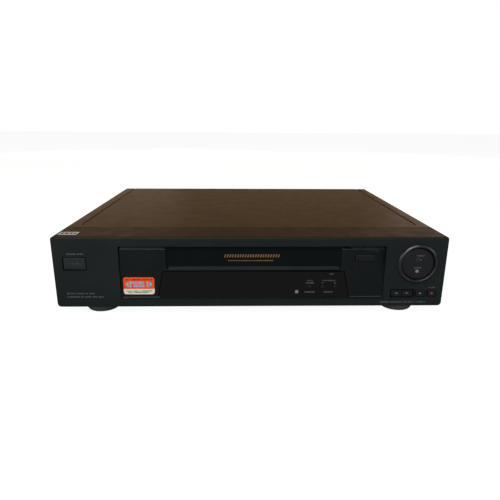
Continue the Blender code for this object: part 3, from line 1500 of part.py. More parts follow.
def make_chassis():
    """The deck plate with skirts, slots for the guides and a pivot post for each arm, reel and gear."""
    left = CENTRE_SHIFT - DECK_HALF_WIDTH
    right = CENTRE_SHIFT + DECK_HALF_WIDTH
    under = DECK_TOP_HEIGHT - DECK_SHEET
    foot = under - DECK_SKIRT
    corners = [
        (left, DECK_TOP_HEIGHT),
        (left, foot),
        (left + DECK_SHEET, foot),
        (left + DECK_SHEET, under),
        (right - DECK_SHEET, under),
        (right - DECK_SHEET, foot),
        (right, foot),
        (right, DECK_TOP_HEIGHT),
    ]
    deck = outline("deck_chassis", corners, "front", (DECK_FRONT, DECK_BACK), look=ZINC_STEEL)
    level = DECK_TOP_HEIGHT - DECK_SHEET / 2
    tops = [
        (pinch_pivot(), ARM_TOP_HEIGHT + AXLE_FREE_END),
        (tension_pivot(), ARM_TOP_HEIGHT + AXLE_FREE_END),
        (idler_pivot(), ARM_TOP_HEIGHT + AXLE_FREE_END),
        (Vector((CAM_X, CAM_DEPTH)), ARM_FOOT_HEIGHT + CAM_GEAR_THICKNESS + AXLE_FREE_END),
    ]
    tops += [(spot, SPINDLE_TOP_HEIGHT - AXLE_FREE_END) for spot in reel_places().values()]
    posts = [(AXLE_RADIUS, at(spot.x, spot.y, level), at(spot.x, spot.y, top)) for spot, top in tops]
    through = (under - CUT_OVERRUN, DECK_TOP_HEIGHT + CUT_OVERRUN)
    slots = [
        outline(name + "_slot", stadium(start, end, GUIDE_SLOT_HALF_WIDTH), "plan", through)
        for name, (start, end) in guide_runs().items()
    ]
    bearing_hole = rods(
        "bearing_hole",
        [
            (
                BEARING_RADIUS + FIT_GAP,
                at(CAPSTAN_X, CAPSTAN_DEPTH, through[0]),
                at(CAPSTAN_X, CAPSTAN_DEPTH, through[1]),
            )
        ],
        sides=HIDDEN_TURN_STEPS,
    )
    join(deck, rods("pivot_posts", posts, sides=POST_SIDES))
    cut(deck, bearing_hole, *slots)


def make_drum():
    """The head drum, leaning back: a still lower half with a bore and a turning upper half on a shaft."""
    tilt = math.radians(DRUM_TILT_DEGREES)
    seat = DECK_TOP_HEIGHT + FIT_GAP + DRUM_RADIUS * math.sin(tilt)
    origin = at(DRUM_X, DRUM_DEPTH, seat)
    bore = DRUM_SHAFT_RADIUS + FIT_GAP
    lower = turned(
        "lower_drum",
        [(DRUM_RADIUS, LOWER_DRUM_HEIGHT), (DRUM_RADIUS, 0), (bore, 0), (bore, LOWER_DRUM_HEIGHT)],
        origin,
        look=MACHINED_ALLOY,
        steps=VISIBLE_TURN_STEPS,
        bored=True,
    )
    split = LOWER_DRUM_HEIGHT + DRUM_SPLIT
    top = split + UPPER_DRUM_HEIGHT
    upper = turned(
        "upper_drum",
        [
            (0, top + DRUM_HUB_HEIGHT),
            (DRUM_HUB_RADIUS, top + DRUM_HUB_HEIGHT),
            (DRUM_HUB_RADIUS, top),
            (DRUM_RADIUS, top),
            (DRUM_RADIUS, split),
            (DRUM_SHAFT_RADIUS, split),
            (DRUM_SHAFT_RADIUS, FIT_GAP),
            (0, FIT_GAP),
        ],
        origin,
        look=MACHINED_ALLOY,
        steps=VISIBLE_TURN_STEPS,
    )
    for half in (lower, upper):
        half.rotation_euler.x = -tilt


def make_capstan():
    """The capstan motor's stator and bearing under the deck, and the flywheel with its shaft."""
    under = DECK_TOP_HEIGHT - DECK_SHEET - FIT_GAP
    flywheel_top = FLYWHEEL_FOOT_HEIGHT + FLYWHEEL_THICKNESS
    bore = CAPSTAN_SHAFT_RADIUS + FIT_GAP
    foot = flywheel_top + FIT_GAP
    origin = at(CAPSTAN_X, CAPSTAN_DEPTH, 0)
    turned(
        "capstan_motor",
        [
            (BEARING_RADIUS, BEARING_TOP_HEIGHT),
            (BEARING_RADIUS, under),
            (STATOR_RADIUS, under),
            (STATOR_RADIUS, foot),
            (bore, foot),
            (bore, BEARING_TOP_HEIGHT),
        ],
        origin,
        look=IRON_GREY,
        bored=True,
    )
    turned(
        "capstan_flywheel",
        [
            (0, CAPSTAN_TOP_HEIGHT),
            (CAPSTAN_SHAFT_RADIUS, CAPSTAN_TOP_HEIGHT),
            (CAPSTAN_SHAFT_RADIUS, flywheel_top),
            (FLYWHEEL_RADIUS, flywheel_top),
            (FLYWHEEL_RADIUS, FLYWHEEL_FOOT_HEIGHT),
            (0, FLYWHEEL_FOOT_HEIGHT),
        ],
        origin,
        look=POLISHED_STEEL,
    )


def make_arm(name, pivot, tip, post_radius, post_top, look):
    """A flat arm with a bore at its pivot and an upright post at its tip."""
    origin = at(pivot.x, pivot.y, ARM_FOOT_HEIGHT)
    level = (ARM_FOOT_HEIGHT, ARM_TOP_HEIGHT)
    arm = outline(name, stadium(pivot, tip, ARM_HALF_WIDTH), "plan", level, origin=origin, look=look)
    bore = (
        BORE_RADIUS,
        at(pivot.x, pivot.y, level[0] - CUT_OVERRUN),
        at(pivot.x, pivot.y, level[1] + CUT_OVERRUN),
    )
    middle = sum(level) / 2
    post = (post_radius, at(tip.x, tip.y, middle), at(tip.x, tip.y, post_top))
    cut(arm, rods(name + "_bore", [bore], sides=POST_SIDES))
    join(arm, rods(name + "_post", [post], sides=POST_SIDES))


def make_wheel(name, spot, radius, foot, height, look, bore=BORE_RADIUS):
    """A plain bored wheel that stands at a place."""
    profile = [(radius, height), (radius, 0), (bore, 0), (bore, height)]
    return turned(name, profile, at(spot.x, spot.y, foot), look=look, bored=True)


def make_pinch_roller():
    """The pinch arm, swung open, and its roller."""
    tip = pinch_rest()
    top = WHEEL_FOOT_HEIGHT + PINCH_ROLLER_HEIGHT + AXLE_FREE_END
    make_arm("pinch_arm", pinch_pivot(), tip, AXLE_RADIUS, top, ZINC_STEEL)
    make_wheel(
        "pinch_roller", tip, PINCH_ROLLER_RADIUS, WHEEL_FOOT_HEIGHT, PINCH_ROLLER_HEIGHT, ROLLER_RUBBER
    )


def make_reels():
    """The two reel tables and the idler that swings between them."""
    for name, spot in reel_places().items():
        disc = REEL_TABLE_THICKNESS
        top = SPINDLE_TOP_HEIGHT - ARM_FOOT_HEIGHT
        turned(
            name,
            [
                (SPINDLE_RADIUS, top),
                (SPINDLE_RADIUS, disc),
                (REEL_TABLE_RADIUS, disc),
                (REEL_TABLE_RADIUS, 0),
                (BORE_RADIUS, 0),
                (BORE_RADIUS, top),
            ],
            at(spot.x, spot.y, ARM_FOOT_HEIGHT),
            look=GEAR_BLACK,
            bored=True,
        )
    pivot = idler_pivot()
    tip = pivot + Vector((0, IDLER_ARM_LENGTH))
    top = WHEEL_FOOT_HEIGHT + IDLER_GEAR_THICKNESS + AXLE_FREE_END
    make_arm("idler_arm", pivot, tip, AXLE_RADIUS, top, ZINC_STEEL)
    make_wheel("idler_gear", tip, IDLER_GEAR_RADIUS, WHEEL_FOOT_HEIGHT, IDLER_GEAR_THICKNESS, GEAR_WHITE)


def make_tension_arm():
    """The tension arm with its tape post."""
    pivot = tension_pivot()
    heading = math.radians(TENSION_REST_DEGREES)
    tip = pivot + TENSION_ARM_LENGTH * Vector((math.cos(heading), math.sin(heading)))
    make_arm("tension_arm", pivot, tip, TENSION_POST_RADIUS, GUIDE_TOP_HEIGHT, ZINC_STEEL)


def make_guides():
    """The two guide bases with their posts, each pegged into its slot."""
    half = GUIDE_BASE_SIZE / 2
    for name, (start, _) in guide_runs().items():
        level = (ARM_FOOT_HEIGHT, ARM_FOOT_HEIGHT + GUIDE_BASE_THICKNESS)
        spans = ((start.x - half, start.x + half), (start.y - half, start.y + half), level)
        base = boxes(name, [spans], look=GEAR_BLACK)
        middle = sum(level) / 2
        foot = DECK_TOP_HEIGHT - DECK_SHEET
        peg = GUIDE_SLOT_HALF_WIDTH - FIT_GAP
        post = (GUIDE_POST_RADIUS, at(start.x, start.y, middle), at(start.x, start.y, GUIDE_TOP_HEIGHT))
        join(base, rods(name + "_post", [post], sides=POST_SIDES))
        join(base, rods(name + "_peg", [(peg, at(start.x, start.y, foot), post[1])], sides=POST_SIDES))


def make_head(name, x, depth):
    """A fixed tape head on its plate."""
    half_plate = HEAD_PLATE_SIZE / 2
    level = (ARM_FOOT_HEIGHT, ARM_FOOT_HEIGHT + HEAD_PLATE_THICKNESS)
    spans = ((x - half_plate, x + half_plate), (depth - half_plate, depth + half_plate), level)
    plate = boxes(name, [spans], look=MACHINED_ALLOY)
    body = (
        (x - HEAD_WIDTH / 2, x + HEAD_WIDTH / 2),
        (depth - HEAD_LENGTH / 2, depth + HEAD_LENGTH / 2),
        (sum(level) / 2, level[0] + HEAD_HEIGHT),
    )
    join(plate, boxes(name + "_body", [body]))


def make_heads():
    """The erase head and the audio and control head."""
    make_head("erase_head", DRUM_X - ERASE_HEAD_ASIDE, DRUM_DEPTH - ERASE_HEAD_AHEAD)
    make_head("audio_control_head", DRUM_X + AUDIO_HEAD_ASIDE, DRUM_DEPTH + AUDIO_HEAD_BEHIND)


def make_loading_drive():
    """The cam gear, its pinion and the motor that stands over it on a bracket."""
    make_wheel(
        "cam_gear", Vector((CAM_X, CAM_DEPTH)), CAM_GEAR_RADIUS, ARM_FOOT_HEIGHT, CAM_GEAR_THICKNESS, GEAR_WHITE
    )
    spot = pinion_place()
    bore = MOTOR_SHAFT_RADIUS + AXLE_PLAY
    make_wheel("motor_pinion", spot, PINION_RADIUS, ARM_FOOT_HEIGHT, CAM_GEAR_THICKNESS, GEAR_WHITE, bore)
    under = ARM_FOOT_HEIGHT + CAM_GEAR_THICKNESS + FIT_GAP
    top = under + MOTOR_PLATE_THICKNESS
    depth = (spot.y - MOTOR_PLATE_HALF_DEPTH, spot.y + MOTOR_PLATE_HALF_DEPTH)
    across = (spot.x - MOTOR_PLATE_REACH, spot.x + PINION_RADIUS)
    motor = boxes("loading_motor", [(across, depth, (under, top))], look=ZINC_STEEL)
    leg = (
        (across[0], across[0] + MOTOR_LEG_THICKNESS),
        depth,
        (ARM_FOOT_HEIGHT, under + MOTOR_PLATE_THICKNESS / 2),
    )
    seat = under + MOTOR_PLATE_THICKNESS / 2
    body = (MOTOR_RADIUS, at(spot.x, spot.y, seat), at(spot.x, spot.y, seat + MOTOR_HEIGHT))
    shaft = (MOTOR_SHAFT_RADIUS, at(spot.x, spot.y, ARM_FOOT_HEIGHT), at(spot.x, spot.y, seat))
    join(motor, boxes("motor_leg", [leg]))
    join(motor, rods("motor_body", [body]), rods("motor_shaft", [shaft], sides=POST_SIDES))


def make_brackets():
    """The left and right brackets beside the holder, each slotted for the carriage's pins."""
    foot = ARM_FOOT_HEIGHT
    top = foot + BRACKET_HEIGHT
    front = HOLDER_FRONT - BRACKET_OVERLAP
    back = HOLDER_BACK + CARRIAGE_TRAVEL + BRACKET_OVERLAP
    half_slot = LIFT_SLOT_HALF_WIDTH
    for name, side in (("loader_bracket_left", -1), ("loader_bracket_right", 1)):
        corners = [
            (CENTRE_SHIFT + side * BRACKET_HALF_INSIDE, foot),
            (CENTRE_SHIFT + side * (BRACKET_HALF_OUTSIDE + BRACKET_FLANGE), foot),
            (CENTRE_SHIFT + side * (BRACKET_HALF_OUTSIDE + BRACKET_FLANGE), foot + BRACKET_SHEET),
            (CENTRE_SHIFT + side * BRACKET_HALF_OUTSIDE, foot + BRACKET_SHEET),
            (CENTRE_SHIFT + side * BRACKET_HALF_OUTSIDE, top),
            (CENTRE_SHIFT + side * BRACKET_HALF_INSIDE, top),
        ]
        bracket = outline(name, corners, "front", (front, back), look=ZINC_STEEL)
        near = CENTRE_SHIFT + side * (BRACKET_HALF_INSIDE - CUT_OVERRUN)
        far = CENTRE_SHIFT + side * (BRACKET_HALF_OUTSIDE + CUT_OVERRUN)
        run = (
            HOLDER_FRONT + GUIDE_PIN_FROM_END - half_slot,
            HOLDER_BACK - GUIDE_PIN_FROM_END + CARRIAGE_TRAVEL + half_slot,
        )
        level = (GUIDE_PIN_HEIGHT - half_slot, GUIDE_PIN_HEIGHT + half_slot)
        cut(bracket, boxes(name + "_slot", [(sorted((near, far)), run, level)]))
        if side > 0:
            depth, height = carriage_gear_place()
            hole = (CARRIAGE_AXLE_RADIUS + AXLE_PLAY, at(near, depth, height), at(far, depth, height))
            cut(bracket, rods("carriage_axle_hole", [hole], sides=2 * POST_SIDES))


def carriage_gear_place():
    """The depth and height of the gear that drives the carriage's lower edge."""
    return HOLDER_BACK - CARRIAGE_GEAR_AHEAD, CARRIAGE_FOOT_HEIGHT - FIT_GAP - CARRIAGE_GEAR_RADIUS


def make_carriage():
    """The loading carriage: two slotted side plates joined by a bridge over the holder."""
    top = HOLDER_CEILING + HOLDER_SHEET + CARRIAGE_HEAD_GAP
    corners = [
        (CENTRE_SHIFT - CARRIAGE_HALF_WIDTH, CARRIAGE_FOOT_HEIGHT),
        (CENTRE_SHIFT - CARRIAGE_HALF_INSIDE, CARRIAGE_FOOT_HEIGHT),
        (CENTRE_SHIFT - CARRIAGE_HALF_INSIDE, top),
        (CENTRE_SHIFT + CARRIAGE_HALF_INSIDE, top),
        (CENTRE_SHIFT + CARRIAGE_HALF_INSIDE, CARRIAGE_FOOT_HEIGHT),
        (CENTRE_SHIFT + CARRIAGE_HALF_WIDTH, CARRIAGE_FOOT_HEIGHT),
        (CENTRE_SHIFT + CARRIAGE_HALF_WIDTH, top + CARRIAGE_SHEET),
        (CENTRE_SHIFT - CARRIAGE_HALF_WIDTH, top + CARRIAGE_SHEET),
    ]
    carriage = outline("loading_carriage", corners, "front", (HOLDER_FRONT, HOLDER_BACK), look=ZINC_STEEL)
    inside = (CENTRE_SHIFT - CARRIAGE_HALF_INSIDE, CENTRE_SHIFT + CARRIAGE_HALF_INSIDE)
    open_top = (
        inside,
        (HOLDER_FRONT - CUT_OVERRUN, HOLDER_BACK - BRIDGE_LENGTH),
        (top - CUT_OVERRUN, top + CARRIAGE_SHEET + CUT_OVERRUN),
    )
    wide = (inside[0] - BRACKET_SHEET - CUT_OVERRUN, inside[1] + BRACKET_SHEET + CUT_OVERRUN)
    low = LIFT_PIN_HEIGHT - HOLDER_DROP - LIFT_SLOT_HALF_WIDTH
    high = LIFT_PIN_HEIGHT + LIFT_SLOT_HALF_WIDTH
    slots = [
        (wide, (depth - LIFT_SLOT_HALF_WIDTH, depth + LIFT_SLOT_HALF_WIDTH), (low, high))
        for depth in lift_pin_depths()
    ]
    pins = []
    for side in (-1, 1):
        start = CENTRE_SHIFT + side * (CARRIAGE_HALF_INSIDE + CARRIAGE_SHEET / 2)
        end = CENTRE_SHIFT + side * BRACKET_HALF_OUTSIDE
        for depth in (HOLDER_FRONT + GUIDE_PIN_FROM_END, HOLDER_BACK - GUIDE_PIN_FROM_END):
            ends = at(start, depth, GUIDE_PIN_HEIGHT), at(end, depth, GUIDE_PIN_HEIGHT)
            pins.append((LIFT_PIN_RADIUS, *ends))
    cut(carriage, boxes("carriage_opening", [open_top]), boxes("lift_slots", slots))
    join(carriage, rods("guide_pins", pins, sides=POST_SIDES))
    depth, height = carriage_gear_place()
    inner = CENTRE_SHIFT + CARRIAGE_HALF_INSIDE
    outer = CENTRE_SHIFT + CARRIAGE_HALF_WIDTH
    gear_run = (CARRIAGE_GEAR_RADIUS, at(inner, depth, height), at(outer, depth, height))
    gear = rods("carriage_gear", [gear_run], look=GEAR_WHITE)
    end = CENTRE_SHIFT + BRACKET_HALF_OUTSIDE + CARRIAGE_AXLE_REACH
    axle = (CARRIAGE_AXLE_RADIUS, at((inner + outer) / 2, depth, height), at(end, depth, height))
    join(gear, rods("carriage_axle", [axle], sides=POST_SIDES))


def lift_pin_depths():
    """The depth of each of the holder's lift pins."""
    return (HOLDER_FRONT + LIFT_PIN_FROM_END, HOLDER_BACK - LIFT_PIN_FROM_END)


def make_holder():
    """The cassette holder: a channel with two ledges under the cassette, a stop tab each side and pins."""
    foot = HOLDER_FLOOR - LEDGE_SHEET
    top = HOLDER_CEILING + HOLDER_SHEET
    half = HOLDER_HALF_WIDTH
    inner = HOLDER_HALF_INSIDE
    ledge = inner - LEDGE_WIDTH
    right_side = [
        (ledge, HOLDER_FLOOR),
        (ledge, foot),
        (half, foot),
        (half, top),
    ]
    corners = [(CENTRE_SHIFT + x, height) for x, height in right_side]
    corners += [(CENTRE_SHIFT - x, height) for x, height in reversed(right_side)]
    corners += [
        (CENTRE_SHIFT - inner, HOLDER_FLOOR),
        (CENTRE_SHIFT - inner, HOLDER_CEILING),
        (CENTRE_SHIFT + inner, HOLDER_CEILING),
        (CENTRE_SHIFT + inner, HOLDER_FLOOR),
    ]
    front = HOLDER_FRONT - LEDGE_REACH
    holder = outline("cassette_holder", corners, "front", (front, HOLDER_BACK), look=ZINC_STEEL)
    whole = (CENTRE_SHIFT - half - CUT_OVERRUN, CENTRE_SHIFT + half + CUT_OVERRUN)
    throat = (whole, (front - CUT_OVERRUN, HOLDER_FRONT), (HOLDER_FLOOR, top + CUT_OVERRUN))
    label_half = LABEL_WINDOW_WIDTH / 2
    label_front = HOLDER_FRONT + HOLDER_LENGTH / 2 - LABEL_WINDOW_LENGTH / 2
    label_window = (
        (CENTRE_SHIFT - label_half, CENTRE_SHIFT + label_half),
        (label_front, label_front + LABEL_WINDOW_LENGTH),
        (HOLDER_CEILING - CUT_OVERRUN, top + CUT_OVERRUN),
    )
    tabs = []
    pins = []
    for side in (-1, 1):
        near = CENTRE_SHIFT + side * (inner + HOLDER_SHEET / 2)
        far = CENTRE_SHIFT + side * (inner - STOP_TAB_WIDTH)
        depth = (HOLDER_BACK - STOP_INSET, HOLDER_BACK - STOP_INSET + HOLDER_SHEET)
        level = (HOLDER_FLOOR - LEDGE_SHEET / 2, HOLDER_FLOOR + STOP_TAB_HEIGHT)
        tabs.append((sorted((near, far)), depth, level))
        end = CENTRE_SHIFT + side * CARRIAGE_HALF_WIDTH
        for pin_depth in lift_pin_depths():
            ends = at(near, pin_depth, LIFT_PIN_HEIGHT), at(end, pin_depth, LIFT_PIN_HEIGHT)
            pins.append((LIFT_PIN_RADIUS, *ends))
    cut(holder, boxes("holder_throat", [throat]), boxes("label_window", [label_window]))
    join(holder, boxes("stop_tabs", tabs), rods("lift_pins", pins, sides=POST_SIDES))


def main():
    """Builds the recorder from its casing inwards."""
    make_fascia()
    make_cover()
    make_base()
    make_rear_panel()
    make_feet()
    make_centre_panel()
    make_door()
    make_door_spring()
    make_window()
    make_keys()
    make_eject_button()
    make_rocker()
    make_round_buttons()
    make_front_board()
    make_display()
    make_sockets()
    make_tuner()
    make_boards()
    make_power_supply()
    make_chassis()
    make_drum()
    make_capstan()
    make_pinch_roller()
    make_reels()
    make_tension_arm()
    make_guides()
    make_heads()
    make_loading_drive()
    make_brackets()
    make_carriage()
    make_holder()


main()
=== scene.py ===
"""Dressed model of a video cassette recorder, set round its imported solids.

Lengths are in metres in the solids' own frame: x to the right, y to the back and z up. A place on
the machine is also given by its height above the fascia's foot and its depth behind the front plane.
"""

import json
import logging
import math
from dataclasses import dataclass, field
from enum import Enum
from functools import cache
from typing import Callable, Sequence

import bmesh
import bpy
import numpy as np
from mathutils import Matrix, Vector
from numpy.typing import NDArray


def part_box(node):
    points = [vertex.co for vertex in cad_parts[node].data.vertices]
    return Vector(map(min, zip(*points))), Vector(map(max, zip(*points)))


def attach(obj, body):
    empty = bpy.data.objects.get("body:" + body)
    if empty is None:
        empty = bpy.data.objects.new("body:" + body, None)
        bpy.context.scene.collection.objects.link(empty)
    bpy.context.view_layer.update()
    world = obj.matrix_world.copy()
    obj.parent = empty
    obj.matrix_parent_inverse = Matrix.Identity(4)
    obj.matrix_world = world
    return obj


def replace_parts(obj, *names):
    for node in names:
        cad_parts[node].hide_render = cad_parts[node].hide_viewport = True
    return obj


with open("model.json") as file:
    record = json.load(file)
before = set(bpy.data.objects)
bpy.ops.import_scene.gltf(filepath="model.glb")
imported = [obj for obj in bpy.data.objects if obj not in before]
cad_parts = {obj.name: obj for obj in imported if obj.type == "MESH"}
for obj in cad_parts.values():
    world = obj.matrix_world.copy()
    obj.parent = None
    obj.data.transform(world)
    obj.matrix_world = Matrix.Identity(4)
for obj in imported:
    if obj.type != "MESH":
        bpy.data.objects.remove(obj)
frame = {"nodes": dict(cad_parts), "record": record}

Points = NDArray[np.float64]
Spot = tuple[float, float, float]
Run = tuple[float, float, float, float]
Colour = tuple[float, float, float]

LOG = logging.getLogger("recorder")
NODES = frame["nodes"]
BODY_OF = {
    node: body for body, nodes in frame["record"]["behaviour"]["bodies"].items() for node in nodes
}
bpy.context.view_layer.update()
FRONT_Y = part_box("front_fascia")[0].y
FOOT_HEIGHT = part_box("front_fascia")[0].z
WELD = 0.000002
FLAT_ANGLE = math.radians(0.6)
SMOOTH_ANGLE = math.radians(38)
EDGE_ANGLE = math.radians(25)
INK_LIFT = 0.00003
INK_DEPTH = 0.00004
PAPER_RISE = 0.00012
ON_PAPER = 0.00008
PAPER_INK = 0.00015
MIX_SHARE, MIX_FIRST, MIX_SECOND, MIX_RESULT = 0, 6, 7, 2


class Facing(Enum):
    """Which way a shape's own third axis looks. The rows are its across, up and out axes."""

    FRONT = ((1, 0, 0), (0, 0, 1), (0, -1, 0))
    REAR = ((-1, 0, 0), (0, 0, 1), (0, 1, 0))
    TOP = ((1, 0, 0), (0, 1, 0), (0, 0, 1))
    UNDER = ((1, 0, 0), (0, -1, 0), (0, 0, -1))
    LEFT = ((0, -1, 0), (0, 0, 1), (-1, 0, 0))
    RIGHT = ((0, 1, 0), (0, 0, 1), (1, 0, 0))


class Ends(Enum):
    """How a skin ends: closed by a face at both ends, or joined end to start."""

    CAPPED = "capped"
    LOOPED = "looped"


class Grain(Enum):
    """The small relief of a finish."""

    SPARK = "spark-eroded moulding"
    PEEL = "stoved paint"
    BRUSHED = "rolled or brushed metal"
    SPANGLE = "zinc spangle"
    SMOOTH = "polished"
    FIBRE = "paper or laminate"


@dataclass(frozen=True)
class Seat:
    """Where a shape is set: an origin, a facing, and how far out falls back for each metre up."""

    facing: Facing
    origin: Spot
    lean: float = 0.0
    tilt: float = 0.0

    def place(self, points: Points) -> Points:
        """Carries a shape's own points to the frame.

        Each point's out measure first loses lean times its up measure, then its three measures
        multiply the facing's axes, and the sum is turned about x by the tilt and set at the origin.

        Args:
            points: the shape's own points, as across, up and out.

        Returns:
            The points in the frame.
        """
        own = points.copy()
        own[:, 2] -= self.lean * own[:, 1]
        turned_about_x = np.array(Matrix.Rotation(self.tilt, 3, "X"))
        return own @ np.array(self.facing.value, float) @ turned_about_x.T + np.array(self.origin)


@dataclass
class Shape:
    """Points and faces of a piece, before it becomes a mesh."""

    points: Points
    faces: list[NDArray[np.int64]]

    def at(self, seat: Seat) -> "Shape":
        """This shape set on a seat."""
        return Shape(seat.place(self.points), self.faces)

    def moved(self, across: float = 0.0, up: float = 0.0, out: float = 0.0) -> "Shape":
        """This shape moved in its own axes."""
        return Shape(self.points + np.array([across, up, out]), self.faces)


def together(shapes: Sequence[Shape]) -> Shape:
    """Puts shapes side by side in one.

    Args:
        shapes: the shapes, which stay loose from one another.

    Returns:
        One shape whose face corners count on through all the points.
    """
    faces: list[NDArray[np.int64]] = []
    start = 0
    for shape in shapes:
        faces += [corners + start for corners in shape.faces]
        start += len(shape.points)
    return Shape(np.concatenate([shape.points for shape in shapes]), faces)


def skin(rows: Points, ends: Ends = Ends.CAPPED) -> Shape:
    """A skin over rows of points, closed round each row.

    A face joins each point to the next round its row and to the same two in the next row.

    Args:
        rows: points by row, by place round the row, by axis.
        ends: how the first and last rows are closed.

    Returns:
        The skin.
    """
    count, around = rows.shape[:2]
    index = np.arange(count * around).reshape(count, around)
    body = np.vstack([index, index[:1]]) if ends is Ends.LOOPED else index
    here, there = body[:-1], body[1:]
    quads = np.stack([here, np.roll(here, -1, 1), np.roll(there, -1, 1), there], axis=-1)
    faces = [quads.reshape(-1, 4)]
    if ends is Ends.CAPPED:
        faces += [index[:1, ::-1], index[-1:]]
    return Shape(rows.reshape(-1, 3), faces)


def sheet(points: Points, kept: NDArray[np.bool_]) -> Shape:
    """An open sheet over a grid of points, with some of its cells left out.

    Args:
        points: points by row, by column, by axis.
        kept: which cells stay, one fewer each way than the points.

    Returns:
        The sheet, its faces turned to the side from which rows run up and columns run right.
    """
    rows, columns = points.shape[:2]
    index = np.arange(rows * columns).reshape(rows, columns)
    quads = np.stack([index[:-1, :-1], index[:-1, 1:], index[1:, 1:], index[1:, :-1]], axis=-1)
    return Shape(points.reshape(-1, 3), [quads[kept]])


def turned(profile: Sequence[tuple[float, float]], steps: int = 64, ends: Ends = Ends.CAPPED) -> Shape:
    """A surface of revolution about the out axis.

    The point at an angle and a station is radius times the angle's cosine and sine, and the height.

    Args:
        profile: radius and height at each station, from the outside of one end to the other.
        steps: how many points go round.
        ends: how the profile's ends are closed; LOOPED makes a ring.

    Returns:
        The turned shape.
    """
    radius, height = np.array(profile, float).T[:, :, None]
    angle = np.linspace(0, 2 * math.pi, steps, endpoint=False)[None, :]
    level = height + 0 * angle
    return skin(np.stack([radius * np.cos(angle), radius * np.sin(angle), level], axis=-1), ends)


def eased(
        corners: Sequence[tuple[float, float, float]], closed: bool = False, steps: int = 4
) -> list[tuple[float, float]]:
    """A line of corners, each eased by a parabola that starts and ends its reach away.

    The point at share t is the corner, drawn towards the one before by reach times (1 - t) squared
    and towards the one after by reach times t squared.

    Args:
        corners: across, up and reach of each corner.
        closed: whether the last corner joins the first.
        steps: how many parts each easing has.

    Returns:
        The eased line's points.
    """
    line: list[tuple[float, float]] = []
    count = len(corners)
    for index, (across, up, reach) in enumerate(corners):
        corner = np.array([across, up])
        if reach <= 0 or (not closed and index in (0, count - 1)):
            line.append((across, up))
            continue
        before = np.array(corners[index - 1][:2]) - corner
        after = np.array(corners[(index + 1) % count][:2]) - corner
        before /= np.linalg.norm(before)
        after /= np.linalg.norm(after)
        share = np.linspace(0, 1, steps + 1)[:, None]
        eased_part = corner + reach * ((1 - share) ** 2 * before + share**2 * after)
        line += [(float(x), float(y)) for x, y in eased_part]
    return line


def rounded_loop(half_width: Points, half_height: Points, radius: Points, steps: int = 5) -> Points:
    """Rounded rectangles, one for each station.

    A point is the corner's centre plus the radius times the angle's cosine and sine.

    Args:
        half_width: half the width at each station.
        half_height: half the height at each station.
        radius: the corner radius at each station.
        steps: how many parts each corner has.

    Returns:
        Points by station, by place round the loop, by axis.
    """
    quarter = np.linspace(0, math.pi / 2, steps + 1)
    angle = (quarter[None, :] + math.pi / 2 * np.arange(4)[:, None]).ravel()
    side = np.repeat([1, -1, -1, 1], steps + 1)
    rise = np.repeat([1, 1, -1, -1], steps + 1)
    across = side * (half_width - radius)[:, None] + radius[:, None] * np.cos(angle)
    up = rise * (half_height - radius)[:, None] + radius[:, None] * np.sin(angle)
    return np.stack([across, up], axis=-1)


def pad(
        width: float, height: float, low: float, high: float, corner: float, edge: float, crown: float = 0.0,
        both: bool = False,
) -> Shape:
    """A block with rounded corners, rounded front edges and a crowned front.

    At a share t of a quarter turn the outline is drawn in by edge times (1 - cos t) and stands at
    high - edge + edge times sin t. Inside that, the crown rises with one less the square of the
    share of the way out.

    Args:
        width: across.
        height: up.
        low: where its back is, in the out axis.
        high: where its front edge ends, in the out axis.
        corner: the radius of its corners.
        edge: the radius of its front edge.
        crown: how much the middle stands above the front edge.
        both: whether the back edge is rounded too.

    Returns:
        The pad, about the middle of its width and height.
    """
    turn = np.linspace(0, math.pi / 2, 5)
    draw = edge * (1 - np.cos(turn))
    level = high - edge + edge * np.sin(turn)
    back_draw, back_level = (draw[::-1], low + high - level[::-1]) if both else (draw[:1], np.array([low]))
    inner = np.array([0.75, 0.5, 0.25, 0.02]) if crown else np.array([])
    room = min(width, height) / 2 - edge
    draw = np.concatenate([back_draw, draw, edge + room * (1 - inner)])
    level = np.concatenate([back_level, level, high + crown * (1 - inner**2)])
    radius = np.maximum(corner - draw, 0.0)
    loops = rounded_loop(width / 2 - draw, height / 2 - draw, radius)
    rows = np.concatenate([loops, np.broadcast_to(level[:, None, None], loops.shape[:2] + (1,))], axis=-1)
    return skin(rows)


def prism(outline: Sequence[tuple[float, float]], low: float, high: float) -> Shape:
    """An outline carried straight out from one level to another.

    Args:
        outline: across and up of each corner, anticlockwise.
        low: the first level.
        high: the last level.

    Returns:
        The closed prism.
    """
    loop = np.array(outline, float)
    rows = [np.column_stack([loop, np.full(len(loop), level)]) for level in (low, high)]
    return skin(np.array(rows))


def strokes(runs: Sequence[Run], low: float = -INK_DEPTH, high: float = INK_LIFT) -> Shape:
    """Flat upright blocks of print.

    Args:
        runs: left, right, foot and top of each block.
        low: how deep they start.
        high: how proud they stand.

    Returns:
        All the blocks.
    """
    corners = [[(left, foot), (right, foot), (right, top), (left, top)] for left, right, foot, top in runs]
    return together([prism(outline, low, high) for outline in corners])


def small_print(left: float, right: float, foot: float, top: float, seed: int) -> list[Run]:
    """A line of generic small print: blocks of uneven width with thin gaps, and a wider gap now and then.

    Args:
        left: where the line starts.
        right: where it ends.
        foot: its lower edge.
        top: its upper edge.
        seed: the seed of its widths.

    Returns:
        The blocks of the line.
    """
    draw = np.random.default_rng(seed)
    size = top - foot
    count = max(2, int((right - left) / (0.95 * size)))
    widths = draw.uniform(0.35, 0.75, count) * size
    gaps = np.where(draw.random(count) < 0.16, 0.9, 0.28) * size
    starts = np.concatenate([[0.0], np.cumsum(widths + gaps)[:-1]])
    scale = (right - left) / (starts[-1] + widths[-1])
    return [(left + s * scale, left + (s + w) * scale, foot, top) for s, w in zip(starts, widths)]


